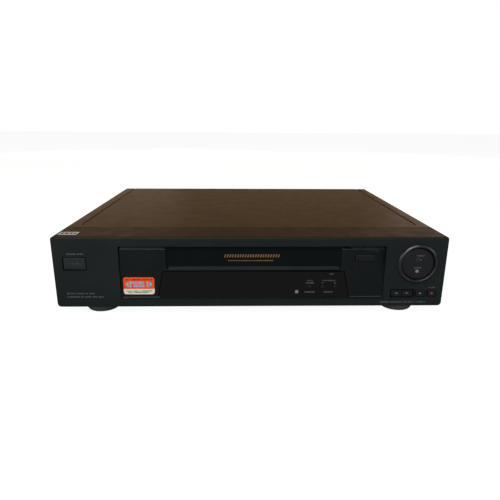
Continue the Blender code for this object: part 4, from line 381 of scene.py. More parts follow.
def printed(*lines: tuple[float, float, float, float, int]) -> list[Run]:
    """Several lines of generic small print.

    Args:
        lines: left, right, foot, top and seed of each.

    Returns:
        The blocks of all the lines.
    """
    return [block for line in lines for block in small_print(*line)]


def wire(path: Points, radius: float, around: int = 10) -> Shape:
    """A round wire along a path.

    Each ring lies across the path, on two directions square to its tangent.

    Args:
        path: the points of its middle line.
        radius: the wire's radius.
        around: how many points go round it.

    Returns:
        The wire, closed at both ends.
    """
    tangent = np.gradient(path, axis=0)
    tangent /= np.linalg.norm(tangent, axis=1, keepdims=True)
    spare = np.eye(3)[np.argmin(np.abs(tangent).max(axis=0))]
    side = np.cross(tangent, spare)
    side /= np.linalg.norm(side, axis=1, keepdims=True)
    other = np.cross(tangent, side)
    angle = np.linspace(0, 2 * math.pi, around, endpoint=False)[None, :, None]
    return skin(path[:, None] + radius * (np.cos(angle) * side[:, None] + np.sin(angle) * other[:, None]))


def toothed(radius: float, teeth: int, tooth: float, low: float, high: float, bore: float) -> Shape:
    """A gear wheel with a bore.

    The outer edge is radius less half the tooth, plus that half times a squared-off cosine of the
    angle times the number of teeth; the section then runs in to the bore and back.

    Args:
        radius: the radius over the teeth.
        teeth: how many teeth.
        tooth: how deep they are.
        low: its lower face.
        high: its upper face.
        bore: the bore's radius.

    Returns:
        The wheel.
    """
    angle = np.linspace(0, 2 * math.pi, teeth * 8, endpoint=False)
    wave = np.clip(1.5 * np.cos(teeth * angle), -1, 1)
    outer = radius - tooth / 2 + tooth / 2 * wave
    chamfer = min(tooth / 3, (high - low) / 6)
    inner = bore + 0 * outer
    radii = np.array([outer, outer, outer - chamfer, inner, inner, outer - chamfer])
    levels = np.array([low + chamfer, high - chamfer, high, high, low, low])[:, None] + 0 * radii
    return skin(np.stack([radii * np.cos(angle), radii * np.sin(angle), levels], axis=-1), Ends.LOOPED)


def screw_head(radius: float, rise: float) -> Shape:
    """A pan-head screw with a crossed recess.

    The height over the plane is the dome's rise times one less the sixth power of the share of the
    radius, less the recess, which is as deep as the point is inside either arm of the cross.

    Args:
        radius: the head's radius.
        rise: how far it stands.

    Returns:
        The head, standing on the plane.
    """
    angle = np.linspace(0, 2 * math.pi, 32, endpoint=False)[None, :]
    share = np.array([1.0, 1.0, 0.97, 0.9, 0.75, 0.6, 0.5, 0.4, 0.3, 0.2, 0.1, 0.0])[:, None]
    across, up = share * np.cos(angle), share * np.sin(angle)
    arm = np.minimum(np.abs(across), np.abs(up))
    reach = np.maximum(np.abs(across), np.abs(up))
    inside = np.clip((0.14 - arm) / 0.05, 0, 1) * np.clip((0.55 - reach) / 0.12, 0, 1)
    height = rise * (1 - share**6) + 0 * angle - 0.55 * rise * inside
    height[0] = -rise / 2
    return skin(np.stack([radius * across, radius * up, height], axis=-1))


@dataclass(frozen=True)
class Finish:
    """A surface finish: its colour and gloss, its small relief and how unevenly it has aged."""

    name: str
    colour: Colour
    roughness: float
    grain: Grain
    metallic: float = 0.0
    specular: float = 0.5
    coat: float = 0.0
    size: float = 0.0006
    relief: float = 0.00002
    mottle: float = 0.12
    worn: float = 0.06

    @cache
    def material(self) -> bpy.types.Material:
        """The finish as a material, made once.

        Returns:
            A node material on Object coordinates.
        """
        material = bpy.data.materials.new(self.name)
        material.use_nodes = True
        graph = Graph(material)
        shader = graph.nodes["Principled BSDF"]
        shader.inputs["Metallic"].default_value = self.metallic
        shader.inputs["Specular IOR Level"].default_value = self.specular
        shader.inputs["Coat Weight"].default_value = self.coat
        shader.inputs["Coat Roughness"].default_value = self.roughness / 3
        place = graph.add("ShaderNodeTexCoord").outputs["Object"]
        graph.link(self.shade(graph, place), shader.inputs["Base Color"])
        cloud = graph.noise(place, 0.018, 3)
        low, high = max(self.roughness - self.worn, 0.02), min(self.roughness + self.worn, 1.0)
        graph.link(graph.spread(cloud, low, high), shader.inputs["Roughness"])
        bump = graph.add("ShaderNodeBump")
        bump.inputs["Distance"].default_value = self.relief
        bump.inputs["Strength"].default_value = 1.0
        graph.link(self.height(graph, place), bump.inputs["Height"])
        graph.link(bump.outputs["Normal"], shader.inputs["Normal"])
        return material

    def shade(self, graph: "Graph", place: bpy.types.NodeSocket) -> bpy.types.NodeSocket:
        """The colour, which drifts a little from place to place.

        Args:
            graph: the material's nodes.
            place: the Object coordinates.

        Returns:
            The colour's socket.
        """
        if self.grain is Grain.SPANGLE:
            cells = graph.add("ShaderNodeTexVoronoi")
            cells.inputs["Scale"].default_value = 1 / self.size
            graph.link(place, cells.inputs["Vector"])
            drift = graph.grey(cells.outputs["Color"])
        else:
            drift = graph.noise(place, 0.045, 4)
        return graph.blend(drift, self.scaled(1 - self.mottle), self.scaled(1 + self.mottle))

    def scaled(self, share: float) -> Colour:
        """The colour made darker or lighter by a share."""
        return tuple(min(part * share, 1.0) for part in self.colour)

    def height(self, graph: "Graph", place: bpy.types.NodeSocket) -> bpy.types.NodeSocket:
        """The small relief.

        Args:
            graph: the material's nodes.
            place: the Object coordinates.

        Returns:
            The height's socket, from 0 to 1.
        """
        if self.grain is Grain.BRUSHED:
            stretch = graph.add("ShaderNodeMapping")
            stretch.inputs["Scale"].default_value = (0.03, 1, 1)
            graph.link(place, stretch.inputs["Vector"])
            return graph.noise(stretch.outputs["Vector"], self.size, 2)
        if self.grain is Grain.PEEL:
            return graph.noise(place, self.size, 0.5)
        if self.grain is Grain.SMOOTH:
            return graph.noise(place, 40 * self.size, 1)
        return graph.noise(place, self.size, 3)


class Graph:
    """Adds and joins the nodes of one material."""

    def __init__(self, material: bpy.types.Material) -> None:
        """Takes the material's own node tree."""
        self.tree = material.node_tree
        self.nodes = material.node_tree.nodes

    def add(self, kind: str) -> bpy.types.Node:
        """A new node of a kind."""
        return self.nodes.new(kind)

    def link(self, start: bpy.types.NodeSocket, end: bpy.types.NodeSocket) -> None:
        """Joins two sockets."""
        self.tree.links.new(start, end)

    def noise(self, place: bpy.types.NodeSocket, size: float, detail: float) -> bpy.types.NodeSocket:
        """Cloudy noise.

        Args:
            place: the coordinates.
            size: how wide a cloud is, in metres.
            detail: how many finer layers it has.

        Returns:
            The noise's value socket.
        """
        node = self.add("ShaderNodeTexNoise")
        node.inputs["Scale"].default_value = 1 / size
        node.inputs["Detail"].default_value = detail
        self.link(place, node.inputs["Vector"])
        return node.outputs[0]

    def spread(
            self, value: bpy.types.NodeSocket, low: float, high: float, start: float = 0.3, end: float = 0.7
    ) -> bpy.types.NodeSocket:
        """Maps a value's middle range to another range.

        Args:
            value: the value.
            low: the result at start.
            high: the result at end.
            start: where the range starts.
            end: where the range ends.

        Returns:
            The mapped value's socket.
        """
        node = self.add("ShaderNodeMapRange")
        self.link(value, node.inputs["Value"])
        node.inputs["From Min"].default_value = start
        node.inputs["From Max"].default_value = end
        node.inputs["To Min"].default_value = low
        node.inputs["To Max"].default_value = high
        return node.outputs["Result"]

    def blend(self, share: bpy.types.NodeSocket, first: Colour, second: Colour) -> bpy.types.NodeSocket:
        """A colour between two.

        Args:
            share: how much of the second.
            first: the colour at 0.3.
            second: the colour at 0.7.

        Returns:
            The colour's socket.
        """
        node = self.add("ShaderNodeMix")
        node.data_type = "RGBA"
        self.link(self.spread(share, 0, 1), node.inputs[MIX_SHARE])
        node.inputs[MIX_FIRST].default_value = (*first, 1)
        node.inputs[MIX_SECOND].default_value = (*second, 1)
        return node.outputs[MIX_RESULT]

    def over(
            self, share: bpy.types.NodeSocket, first: bpy.types.NodeSocket, second: bpy.types.NodeSocket
    ) -> bpy.types.NodeSocket:
        """One colour laid over another.

        Args:
            share: how much of the second shows.
            first: the colour beneath.
            second: the colour on top.

        Returns:
            The colour's socket.
        """
        node = self.add("ShaderNodeMix")
        node.data_type = "RGBA"
        self.link(share, node.inputs[MIX_SHARE])
        self.link(first, node.inputs[MIX_FIRST])
        self.link(second, node.inputs[MIX_SECOND])
        return node.outputs[MIX_RESULT]

    def grey(self, colour: bpy.types.NodeSocket) -> bpy.types.NodeSocket:
        """A colour's brightness.

        Args:
            colour: the colour's socket.

        Returns:
            The brightness's socket.
        """
        node = self.add("ShaderNodeRGBToBW")
        self.link(colour, node.inputs["Color"])
        return node.outputs[0]


@dataclass(frozen=True)
class PlasticWithPaintedTopReflection(Finish):
    """A dark moulding whose top has a painted warm reflection, a warmer tone laid on from a level up."""

    # painted warm reflection on the moulding's top
    top_reflection_colour: Colour = (0.030, 0.0140, 0.0062)
    level: float = 0.0

    def shade(self, graph: Graph, place: bpy.types.NodeSocket) -> bpy.types.NodeSocket:
        """The plain colour, with a painted warm reflection laid over it from the level up.

        Args:
            graph: the material's nodes.
            place: the Object coordinates.

        Returns:
            The colour's socket.
        """
        plain = super().shade(graph, place)
        axes = graph.add("ShaderNodeSeparateXYZ")
        graph.link(place, axes.inputs["Vector"])
        # share of the painted warm reflection, full from just under the level up
        share = graph.spread(axes.outputs["Z"], 0, 1, self.level - 0.0003, self.level - 0.0001)
        drift = graph.noise(place, 0.12, 3)
        top_reflection = graph.blend(drift, self.top_reflection_colour, tuple(1.25 * part for part in self.top_reflection_colour))
        return graph.over(share, plain, top_reflection)


def srgb(red: int, green: int, blue: int) -> Colour:
    """A screen colour as linear light.

    Each part over 255 is raised to 2.4 after the usual offset.

    Args:
        red: from 0 to 255.
        green: from 0 to 255.
        blue: from 0 to 255.

    Returns:
        The linear colour.
    """
    parts = np.array([red, green, blue]) / 255
    linear = np.where(parts <= 0.04045, parts / 12.92, ((parts + 0.055) / 1.055) ** 2.4)
    return tuple(float(part) for part in linear)


class Palette:
    """Every finish on the recorder."""

    TOP_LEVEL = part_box("front_fascia")[1].z
    # its top carries a painted warm reflection from TOP_LEVEL up
    FASCIA = PlasticWithPaintedTopReflection(
        "fascia_black", srgb(28, 34, 34), 0.55, Grain.SPARK, specular=0.18, size=0.0005, relief=0.00003,
        level=TOP_LEVEL,
    )
    PANEL = Finish(
        "panel_black", srgb(15, 20, 21), 0.30, Grain.SPARK, specular=0.3, size=0.0004, relief=0.000015,
    )
    DOOR = Finish(
        "door_black", srgb(7, 14, 15), 0.34, Grain.SPARK, specular=0.16, size=0.0004, relief=0.000015,
    )
    BUTTON = Finish("button_black", srgb(38, 42, 43), 0.45, Grain.SPARK, specular=0.3, size=0.0004)
    DISC = Finish("disc_black", srgb(31, 32, 34), 0.5, Grain.SPARK, specular=0.25, size=0.0004)
    RING = Finish("ring_gloss", srgb(28, 29, 33), 0.30, Grain.SMOOTH, specular=0.7, mottle=0.05)
    # painted shade: near-black strips round and beside the key holes
    WELL_SHADE = Finish("painted_well_shade", srgb(5, 6, 7), 0.8, Grain.SPARK, specular=0.05, size=0.0004)
    # painted highlight: the lighter strip along each block's foot
    LIP_HIGHLIGHT = Finish("painted_lip_highlight", srgb(54, 61, 61), 0.4, Grain.SPARK, specular=0.3, size=0.0004)
    # painted highlight on the door's lower border
    BAND_HIGHLIGHT = Finish("painted_band_highlight", srgb(31, 37, 38), 0.4, Grain.SPARK, specular=0.2, size=0.0004)
    # painted highlight on the blocks' top chamfers
    CREST_HIGHLIGHT = Finish("painted_crest_highlight", srgb(50, 56, 57), 0.4, Grain.SPARK, specular=0.2, size=0.0004)
    # painted highlight round the keys' edges; also the colour of the worn specks below the eject button
    KEY_EDGE_HIGHLIGHT_AND_SPECKS = Finish("painted_key_edge_highlight_and_specks", srgb(46, 49, 51), 0.5, Grain.SPARK, specular=0.2, size=0.0004)
    CHIP_WEAR = Finish("worn_corner", srgb(104, 74, 52), 0.7, Grain.SPARK, specular=0.2, size=0.0004)
    KEY = Finish("key_black", srgb(23, 26, 28), 0.45, Grain.SPARK, specular=0.25, size=0.0004)
    WINDOW = Finish("smoked_window", srgb(19, 17, 19), 0.16, Grain.SMOOTH, specular=0.25, mottle=0.05)
    COVER = Finish(
        "cover_paint", (0.050, 0.0240, 0.0094), 0.42, Grain.PEEL, specular=0.15, size=0.0006, relief=0.000004,
        mottle=0.06, worn=0.03,
    )
    # painted shade: near-black strips in the cover's grooves and in its seam behind the fascia
    SEAM_AND_GROOVE_SHADE = Finish("painted_groove_and_seam_shade", (0.004, 0.003, 0.002), 0.9, Grain.PEEL, specular=0.0, mottle=0.1)
    FOOT = Finish("foot_plastic", srgb(84, 82, 79), 0.55, Grain.SPARK, specular=0.3)
    SOLE = Finish("sole_rubber", srgb(24, 23, 23), 0.85, Grain.SPARK, size=0.0009, relief=0.00006)
    INK = Finish("pale_print", srgb(132, 136, 138), 0.6, Grain.FIBRE, size=0.0002)
    DIM_INK = Finish("grey_print", srgb(84, 88, 90), 0.6, Grain.FIBRE, size=0.0002)
    DARK_INK = Finish("dark_print", srgb(40, 38, 38), 0.6, Grain.FIBRE, size=0.0002)
    GOLD_INK = Finish("gold_print", srgb(166, 122, 72), 0.4, Grain.FIBRE, metallic=0.4, size=0.0002)
    RED_INK = Finish("red_print", srgb(158, 44, 48), 0.55, Grain.FIBRE, size=0.0002)
    ORANGE_PAPER = Finish("orange_label", srgb(250, 84, 18), 0.45, Grain.FIBRE, size=0.0008, mottle=0.05)
    CREAM_PAPER = Finish("cream_label", srgb(236, 234, 212), 0.5, Grain.FIBRE, size=0.0008, mottle=0.05)
    BLUE_INK = Finish("blue_print", srgb(120, 196, 226), 0.5, Grain.FIBRE, size=0.0003)
    PALE_PAPER = Finish("pale_label", srgb(196, 192, 190), 0.45, Grain.FIBRE, size=0.0008, mottle=0.08)
    ZINC = Finish(
        "zinc_steel", (0.46, 0.46, 0.45), 0.36, Grain.SPANGLE, metallic=1.0, size=0.006, mottle=0.1,
        relief=0.000008,
    )
    DARK_SCREW = Finish("blacked_screw", (0.06, 0.058, 0.055), 0.38, Grain.PEEL, metallic=0.7)
    ALLOY = Finish(
        "machined_alloy", (0.66, 0.66, 0.67), 0.24, Grain.BRUSHED, metallic=1.0, size=0.0002, relief=0.000006,
        mottle=0.05,
    )
    STEEL = Finish("polished_steel", (0.62, 0.62, 0.63), 0.14, Grain.SMOOTH, metallic=1.0, mottle=0.04)
    BRASS = Finish("gilt_contact", (0.72, 0.54, 0.26), 0.25, Grain.SMOOTH, metallic=1.0, mottle=0.05)
    BOARD = Finish("board_laminate", (0.20, 0.105, 0.035), 0.5, Grain.FIBRE, size=0.0012, mottle=0.2)
    CHIP = Finish("chip_resin", (0.020, 0.020, 0.021), 0.5, Grain.SPARK, size=0.0003)
    PALE_GEAR = Finish("white_gear", (0.68, 0.67, 0.61), 0.42, Grain.SPARK, size=0.0004, mottle=0.06)
    DARK_GEAR = Finish("black_gear", (0.022, 0.022, 0.023), 0.46, Grain.SPARK, size=0.0004)
    RUBBER = Finish("roller_rubber", (0.020, 0.020, 0.021), 0.8, Grain.SPARK, size=0.0005, relief=0.00004)
    GLASS = Finish("tube_glass", (0.035, 0.06, 0.062), 0.07, Grain.SMOOTH, coat=0.4)
    IRON = Finish(
        "iron_core", (0.11, 0.10, 0.095), 0.5, Grain.BRUSHED, metallic=0.7, size=0.0004, relief=0.00004,
    )
    TAPE = Finish("winding_tape", (0.55, 0.42, 0.10), 0.5, Grain.FIBRE, size=0.001)
    SINK = Finish("sink_alloy", (0.42, 0.42, 0.43), 0.38, Grain.BRUSHED, metallic=1.0, size=0.0004)
    SLEEVE = Finish("can_sleeve", (0.03, 0.05, 0.12), 0.35, Grain.SMOOTH)
    RED_RING = Finish("red_socket", srgb(170, 30, 34), 0.35, Grain.SPARK)
    WHITE_RING = Finish("white_socket", srgb(216, 214, 206), 0.35, Grain.SPARK)


def mesh_of(name: str, shape: Shape, closed: bool) -> bpy.types.Mesh:
    """Puts a shape in a mesh, joins its doubles and, where it is closed, turns its faces outwards.

    Args:
        name: the mesh's name.
        shape: points and faces in the frame.
        closed: whether the shape is closed.

    Returns:
        The mesh, shaded smooth with its corners sharp.
    """
    mesh = bpy.data.meshes.new(name)
    corners = np.concatenate([part.ravel() for part in shape.faces])
    sizes = np.concatenate([np.full(len(part), part.shape[1]) for part in shape.faces])
    mesh.vertices.add(len(shape.points))
    mesh.vertices.foreach_set("co", shape.points.astype(np.float32).ravel())
    mesh.loops.add(len(corners))
    mesh.loops.foreach_set("vertex_index", corners.astype(np.int32))
    mesh.polygons.add(len(sizes))
    mesh.polygons.foreach_set("loop_start", np.concatenate([[0], np.cumsum(sizes)[:-1]]).astype(np.int32))
    mesh.update(calc_edges=True)
    mesh.validate()
    tidy = bmesh.new()
    tidy.from_mesh(mesh)
    bmesh.ops.remove_doubles(tidy, verts=tidy.verts, dist=WELD / 2)
    if closed:
        bmesh.ops.recalc_face_normals(tidy, faces=tidy.faces)
    tidy.to_mesh(mesh)
    tidy.free()
    mesh.shade_smooth()
    mesh.set_sharp_from_angle(angle=SMOOTH_ANGLE)
    return mesh


def soften(piece: bpy.types.Object, width: float, segments: int = 2) -> bpy.types.Object:
    """Rounds a piece's sharp edges.

    Args:
        piece: the piece.
        width: the bevel's width.
        segments: how many faces it has across.

    Returns:
        The piece.
    """
    bevel = piece.modifiers.new("soft_edges", "BEVEL")
    bevel.width = width
    bevel.segments = segments
    bevel.limit_method = "ANGLE"
    bevel.angle_limit = EDGE_ANGLE
    bevel.harden_normals = True
    return piece


def ride(piece: bpy.types.Object, finish: Finish, body: str) -> bpy.types.Object:
    """Dresses a piece, and sets it on its body.

    Args:
        piece: the piece, in place.
        finish: its finish.
        body: the body that it moves with.

    Returns:
        The piece.
    """
    piece.data.materials.clear()
    piece.data.materials.append(finish.material())
    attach(piece, body)
    LOG.info("%s: %s on %s", piece.name, finish.name, body)
    return piece


def make(
        name: str, shape: Shape, finish: Finish, body: str = "casing",
        stands_for: Sequence[str] = (), edge: float = 0.0, closed: bool = True,
) -> bpy.types.Object:
    """Makes a piece of a shape.

    Args:
        name: the piece's name.
        shape: its points and faces in the frame.
        finish: its finish.
        body: the body that it moves with.
        stands_for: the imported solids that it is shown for.
        edge: how wide its sharp edges are rounded.
        closed: whether the shape is closed.

    Returns:
        The piece.
    """
    piece = bpy.data.objects.new(name, mesh_of(name, shape, closed))
    bpy.context.scene.collection.objects.link(piece)
    if edge:
        soften(piece, edge)
    ride(piece, finish, body)
    if stands_for:
        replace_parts(piece, *stands_for)
    return piece


def mould(
        node: str, name: str, finish: Finish, edge: float,
        reshape: Callable[[Points], Points] | None = None, sharp: float = EDGE_ANGLE,
) -> bpy.types.Object:
    """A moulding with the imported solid's own outline and openings, and soft edges.

    The solid's loose triangles are joined, and the lines inside its flat faces taken out first.

    Args:
        node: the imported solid.
        name: the piece's name.
        finish: its finish.
        edge: how wide its sharp edges are rounded.
        reshape: what moves the joined points to their final places, if anything does.
        sharp: from what angle an edge is shaded sharp.

    Returns:
        The piece, which stands for the solid.
    """
    tidy = bmesh.new()
    tidy.from_mesh(NODES[node].data)
    bmesh.ops.remove_doubles(tidy, verts=tidy.verts, dist=WELD)
    bmesh.ops.dissolve_limit(tidy, angle_limit=FLAT_ANGLE, verts=tidy.verts, edges=tidy.edges)
    mesh = bpy.data.meshes.new(name)
    tidy.to_mesh(mesh)
    tidy.free()
    if reshape:
        points = np.empty(3 * len(mesh.vertices), np.float32)
        mesh.vertices.foreach_get("co", points)
        mesh.vertices.foreach_set("co", reshape(points.reshape(-1, 3)).astype(np.float32).ravel())
        mesh.update()
    mesh.shade_smooth()
    mesh.set_sharp_from_angle(angle=sharp)
    piece = bpy.data.objects.new(name, mesh)
    bpy.context.scene.collection.objects.link(piece)
    soften(piece, edge)
    ride(piece, finish, BODY_OF[node])
    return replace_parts(piece, node)


def dress(node: str, finish: Finish) -> None:
    """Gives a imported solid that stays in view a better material.

    Args:
        node: the solid.
        finish: its finish.
    """
    NODES[node].data.materials.clear()
    NODES[node].data.materials.append(finish.material())
    LOG.info("%s: %s on its solid", node, finish.name)


FRONT = Seat(Facing.FRONT, (0.0, FRONT_Y, FOOT_HEIGHT))


@dataclass
class Cover:
    """The folded cover: one sheet over the top and both sides, with pressed grooves and side slots."""

    corner: float = 0.003
    gauge: float = 0.001
    groove_from_side: float = 0.0157
    groove_width: float = 0.0028
    groove_sink: float = 0.0008
    groove_start: float = 0.056
    groove_run_out: float = 0.002
    vent_count: int = 10
    vent_pitch: float = 0.008
    vent_width: float = 0.0022
    vent_foot: float = 0.040
    vent_height: float = 0.022
    vent_from_back: float = 0.035
    seam: float = 0.0009
    # the seam's painted shade strip: how far it sits in, its overlap and its thickness
    seam_shadow_sunk: float = 0.0007
    seam_shadow_lap: float = 0.0004
    seam_shadow_gauge: float = 0.0006
    # the grooves' painted shade strips: share of the groove's width, and how short of the back they stop
    groove_shadow_share: float = 0.68
    groove_shadow_short: float = 0.0005
    screw_depths: tuple[float, float] = (0.075, 0.290)
    screw_height: float = 0.012
    screw_radius: float = 0.0036
    screw_rise: float = 0.0014

    def section(self, half: float, height: float) -> Points:
        """The cover's cross-section from the left foot over the top to the right foot.

        A quarter circle joins each side to the top, and the top's points are close at the grooves.

        Args:
            half: half the width.
            height: the height of the top.

        Returns:
            Points of x and height.
        """
        turn = np.linspace(0, math.pi / 2, 9)
        vent_top = self.vent_foot + self.vent_height
        side = np.array([0.0, 0.0012, 0.02, self.vent_foot, vent_top, height - self.corner - 0.004])
        left = np.column_stack([np.full(len(side), -half), side])
        across, up = -half + self.corner * (1 - np.cos(turn)), height - self.corner * (1 - np.sin(turn))
        arc = np.column_stack([across, up])
        groove = half - self.groove_from_side
        share = np.array([0.62, 0.5, 0.4, 0.3, 0.2, 0.1, 0, -0.1, -0.2, -0.3, -0.4, -0.5, -0.62])
        near = groove + self.groove_width * share
        top = np.concatenate([-near, np.linspace(-0.9 * groove, -0.1 * groove, 6)])
        crest = np.column_stack([top, np.full(len(top), height)])
        whole = np.concatenate([left, arc, crest])
        return np.concatenate([whole, whole[::-1] * np.array([-1, 1])])

    def surface(self) -> Shape:
        """The outer surface: the cross-section carried back, sunk at the grooves and open at the slots.

        The height is the section's, less the groove's sink times a raised cosine of the distance
        from its middle and times a share that grows from nothing where the groove starts.

        Returns:
            The open sheet, with the slots' cells left out.
        """
        low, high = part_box("top_cover")
        half, height = high.x, high.z - FOOT_HEIGHT
        start, end = low.y - FRONT_Y, high.y - FRONT_Y
        backs = end - self.vent_from_back - self.vent_pitch * np.arange(self.vent_count)
        vents = np.sort(np.concatenate([backs, backs - self.vent_width]))
        grooved = self.groove_start + self.groove_run_out * np.array([0, 0.3, 0.6, 1, 2])
        front = [start + self.seam, start + 0.0014, start + 0.006]
        between = np.linspace(0.07, vents[0] - 0.01, 8)
        depth = np.unique(np.concatenate([front, grooved, between, vents, [end - 0.02, end]]))
        section = self.section(half, height)
        across = np.broadcast_to(section[:, 0], (len(depth), len(section)))
        level = np.broadcast_to(section[:, 1], across.shape)
        off = np.abs(np.abs(across) - (half - self.groove_from_side)) / (self.groove_width / 2)
        shape = np.where(off < 1, 0.5 + 0.5 * np.cos(math.pi * np.clip(off, 0, 1)), 0)
        grown = np.clip((depth - self.groove_start) / self.groove_run_out, 0, 1)[:, None]
        on_top = level > height - self.corner / 2
        level = level - self.groove_sink * shape * grown * on_top
        points = np.stack([across, FRONT_Y + depth[:, None] + 0 * across, FOOT_HEIGHT + level], axis=-1)
        middle_height = (section[1:, 1] + section[:-1, 1]) / 2
        beside = np.abs(section[1:, 0] + section[:-1, 0]) > 2 * half - 0.0001
        in_height = (middle_height > self.vent_foot) & (middle_height < self.vent_foot + self.vent_height)
        middle_depth = ((depth[1:] + depth[:-1]) / 2)[:, None]
        in_depth = np.any((middle_depth < backs) & (middle_depth > backs - self.vent_width), axis=1)
        return sheet(points, ~(in_depth[:, None] & (beside & in_height)[None, :]))

    def build(self) -> None:
        """Makes the cover, its wall turned inwards, and its screws."""
        cover = make(
            "cover_sheet", self.surface(), Palette.COVER, stands_for=["top_cover"],
            closed=False,
        )
        wall = cover.modifiers.new("gauge", "SOLIDIFY")
        wall.thickness = self.gauge
        wall.offset = -1
        wall.use_even_offset = True
        soften(cover, 0.0002)
        self.screws()
        self.groove_shadows()
        self.shade_the_seam()

    def shade_the_seam(self) -> None:
        """Painted shade in the seam behind the fascia: a near-black strip, the section drawn in and carried over
        the gap.
        """
        low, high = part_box("top_cover")
        section = self.section(high.x - self.seam_shadow_sunk, high.z - FOOT_HEIGHT - self.seam_shadow_sunk)
        depth = low.y + np.array([0.0, self.seam + self.seam_shadow_lap])
        across, back = np.broadcast_arrays(section[:, 0], depth[:, None])
        points = np.stack([across, back, FOOT_HEIGHT + section[:, 1] + 0 * back], axis=-1)
        shape = sheet(points, np.full((1, len(section) - 1), True))
        strip = make("seam_shadow_strip", shape, Palette.SEAM_AND_GROOVE_SHADE, closed=False)
        wall = strip.modifiers.new("gauge", "SOLIDIFY")
        wall.thickness = self.seam_shadow_gauge
        wall.offset = -1

    def groove_shadows(self) -> None:
        """Painted shade along the bottom of each groove: a near-black strip."""
        low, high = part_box("top_cover")
        start = FRONT_Y + self.groove_start + self.groove_run_out
        length = high.y - self.groove_shadow_short - start
        strip = pad(self.groove_shadow_share * self.groove_width, length, 0.0, 0.00025, 0.0005, 0.0001)
        across, level = high.x - self.groove_from_side, high.z - self.groove_sink
        seats = [Seat(Facing.TOP, (side * across, start + length / 2, level)) for side in (-1, 1)]
        make("groove_shadows", together([strip.at(seat) for seat in seats]), Palette.SEAM_AND_GROOVE_SHADE)

    def screws(self) -> None:
        """The screws that hold the cover, two on each side."""
        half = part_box("top_cover")[1].x
        heads = []
        for depth in self.screw_depths:
            for facing, side in ((Facing.LEFT, -1), (Facing.RIGHT, 1)):
                place = (side * half, FRONT_Y + depth, FOOT_HEIGHT + self.screw_height)
                heads.append(screw_head(self.screw_radius, self.screw_rise).at(Seat(facing, place)))
        make("cover_screws", together(heads), Palette.DARK_SCREW)


@dataclass
class Fascia:
    """The moulded front with its print, and the pale label on its top."""

    corner: float = 0.003
    fuller: float = 0.0015
    label: Run = (-0.2105, -0.1900, 0.0105, 0.0225)

    def build(self) -> None:
        """Makes the moulding, then the print and the label."""
        mould("front_fascia", "fascia_moulding", Palette.FASCIA, 0.0003, self.fuller_corners)
        lines = printed(
            (-0.1988, -0.1810, 0.0610, 0.0624, 3), (-0.2027, -0.1727, 0.0155, 0.0172, 5),
            (-0.2027, -0.1632, 0.0116, 0.0133, 8), (0.1985, 0.2050, 0.0217, 0.0231, 13),
            (0.1450, 0.1965, 0.0044, 0.0060, 21),
        )
        make("fascia_print", strokes(lines).at(FRONT), Palette.DIM_INK)
        self.top_label()

    def fuller_corners(self, points: Points) -> Points:
        """The moulding's points, with its two lower corners on a larger radius.

        Each point of the outer skin beyond a corner's centre moves along the inward diagonal by the
        extra radius, then out again by the same along its own direction from that centre.

        Args:
            points: the moulding's points.

        Returns:
            The moved points.
        """
        low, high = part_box("front_fascia")
        beyond, below = np.abs(points[:, 0]) - (high.x - self.corner), low.z + self.corner - points[:, 2]
        off = np.stack([beyond, below], axis=1)
        reach = np.linalg.norm(off, axis=1)
        outer = (off.min(axis=1) > -0.0001) & (reach > 0.3 * self.corner)
        step = self.fuller * (off / np.maximum(reach, WELD)[:, None] - 1)
        moved = points.copy()
        moved[outer, 0] += np.sign(points[outer, 0]) * step[outer, 0]
        moved[outer, 2] -= step[outer, 1]
        return moved

    def top_label(self) -> None:
        """The small pale label on the top, with generic marks."""
        left, right, front, back = self.label
        top = Seat(Facing.TOP, ((left + right) / 2, FRONT_Y + (front + back) / 2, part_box("front_fascia")[1].z))
        paper = pad(right - left, back - front, -INK_DEPTH, PAPER_RISE, 0.0015, PAPER_RISE / 2)
        make("top_label", paper.at(top), Palette.PALE_PAPER)
        half = (right - left) / 2
        shares = ((-0.8, -0.5), (-0.35, 0.0), (0.15, 0.45), (0.6, 0.8))
        marks = [(start * half, end * half, -0.003, 0.003) for start, end in shares]
        blocks = strokes(marks, ON_PAPER, PAPER_INK)
        make("top_label_print", blocks.at(top), Palette.DARK_INK)


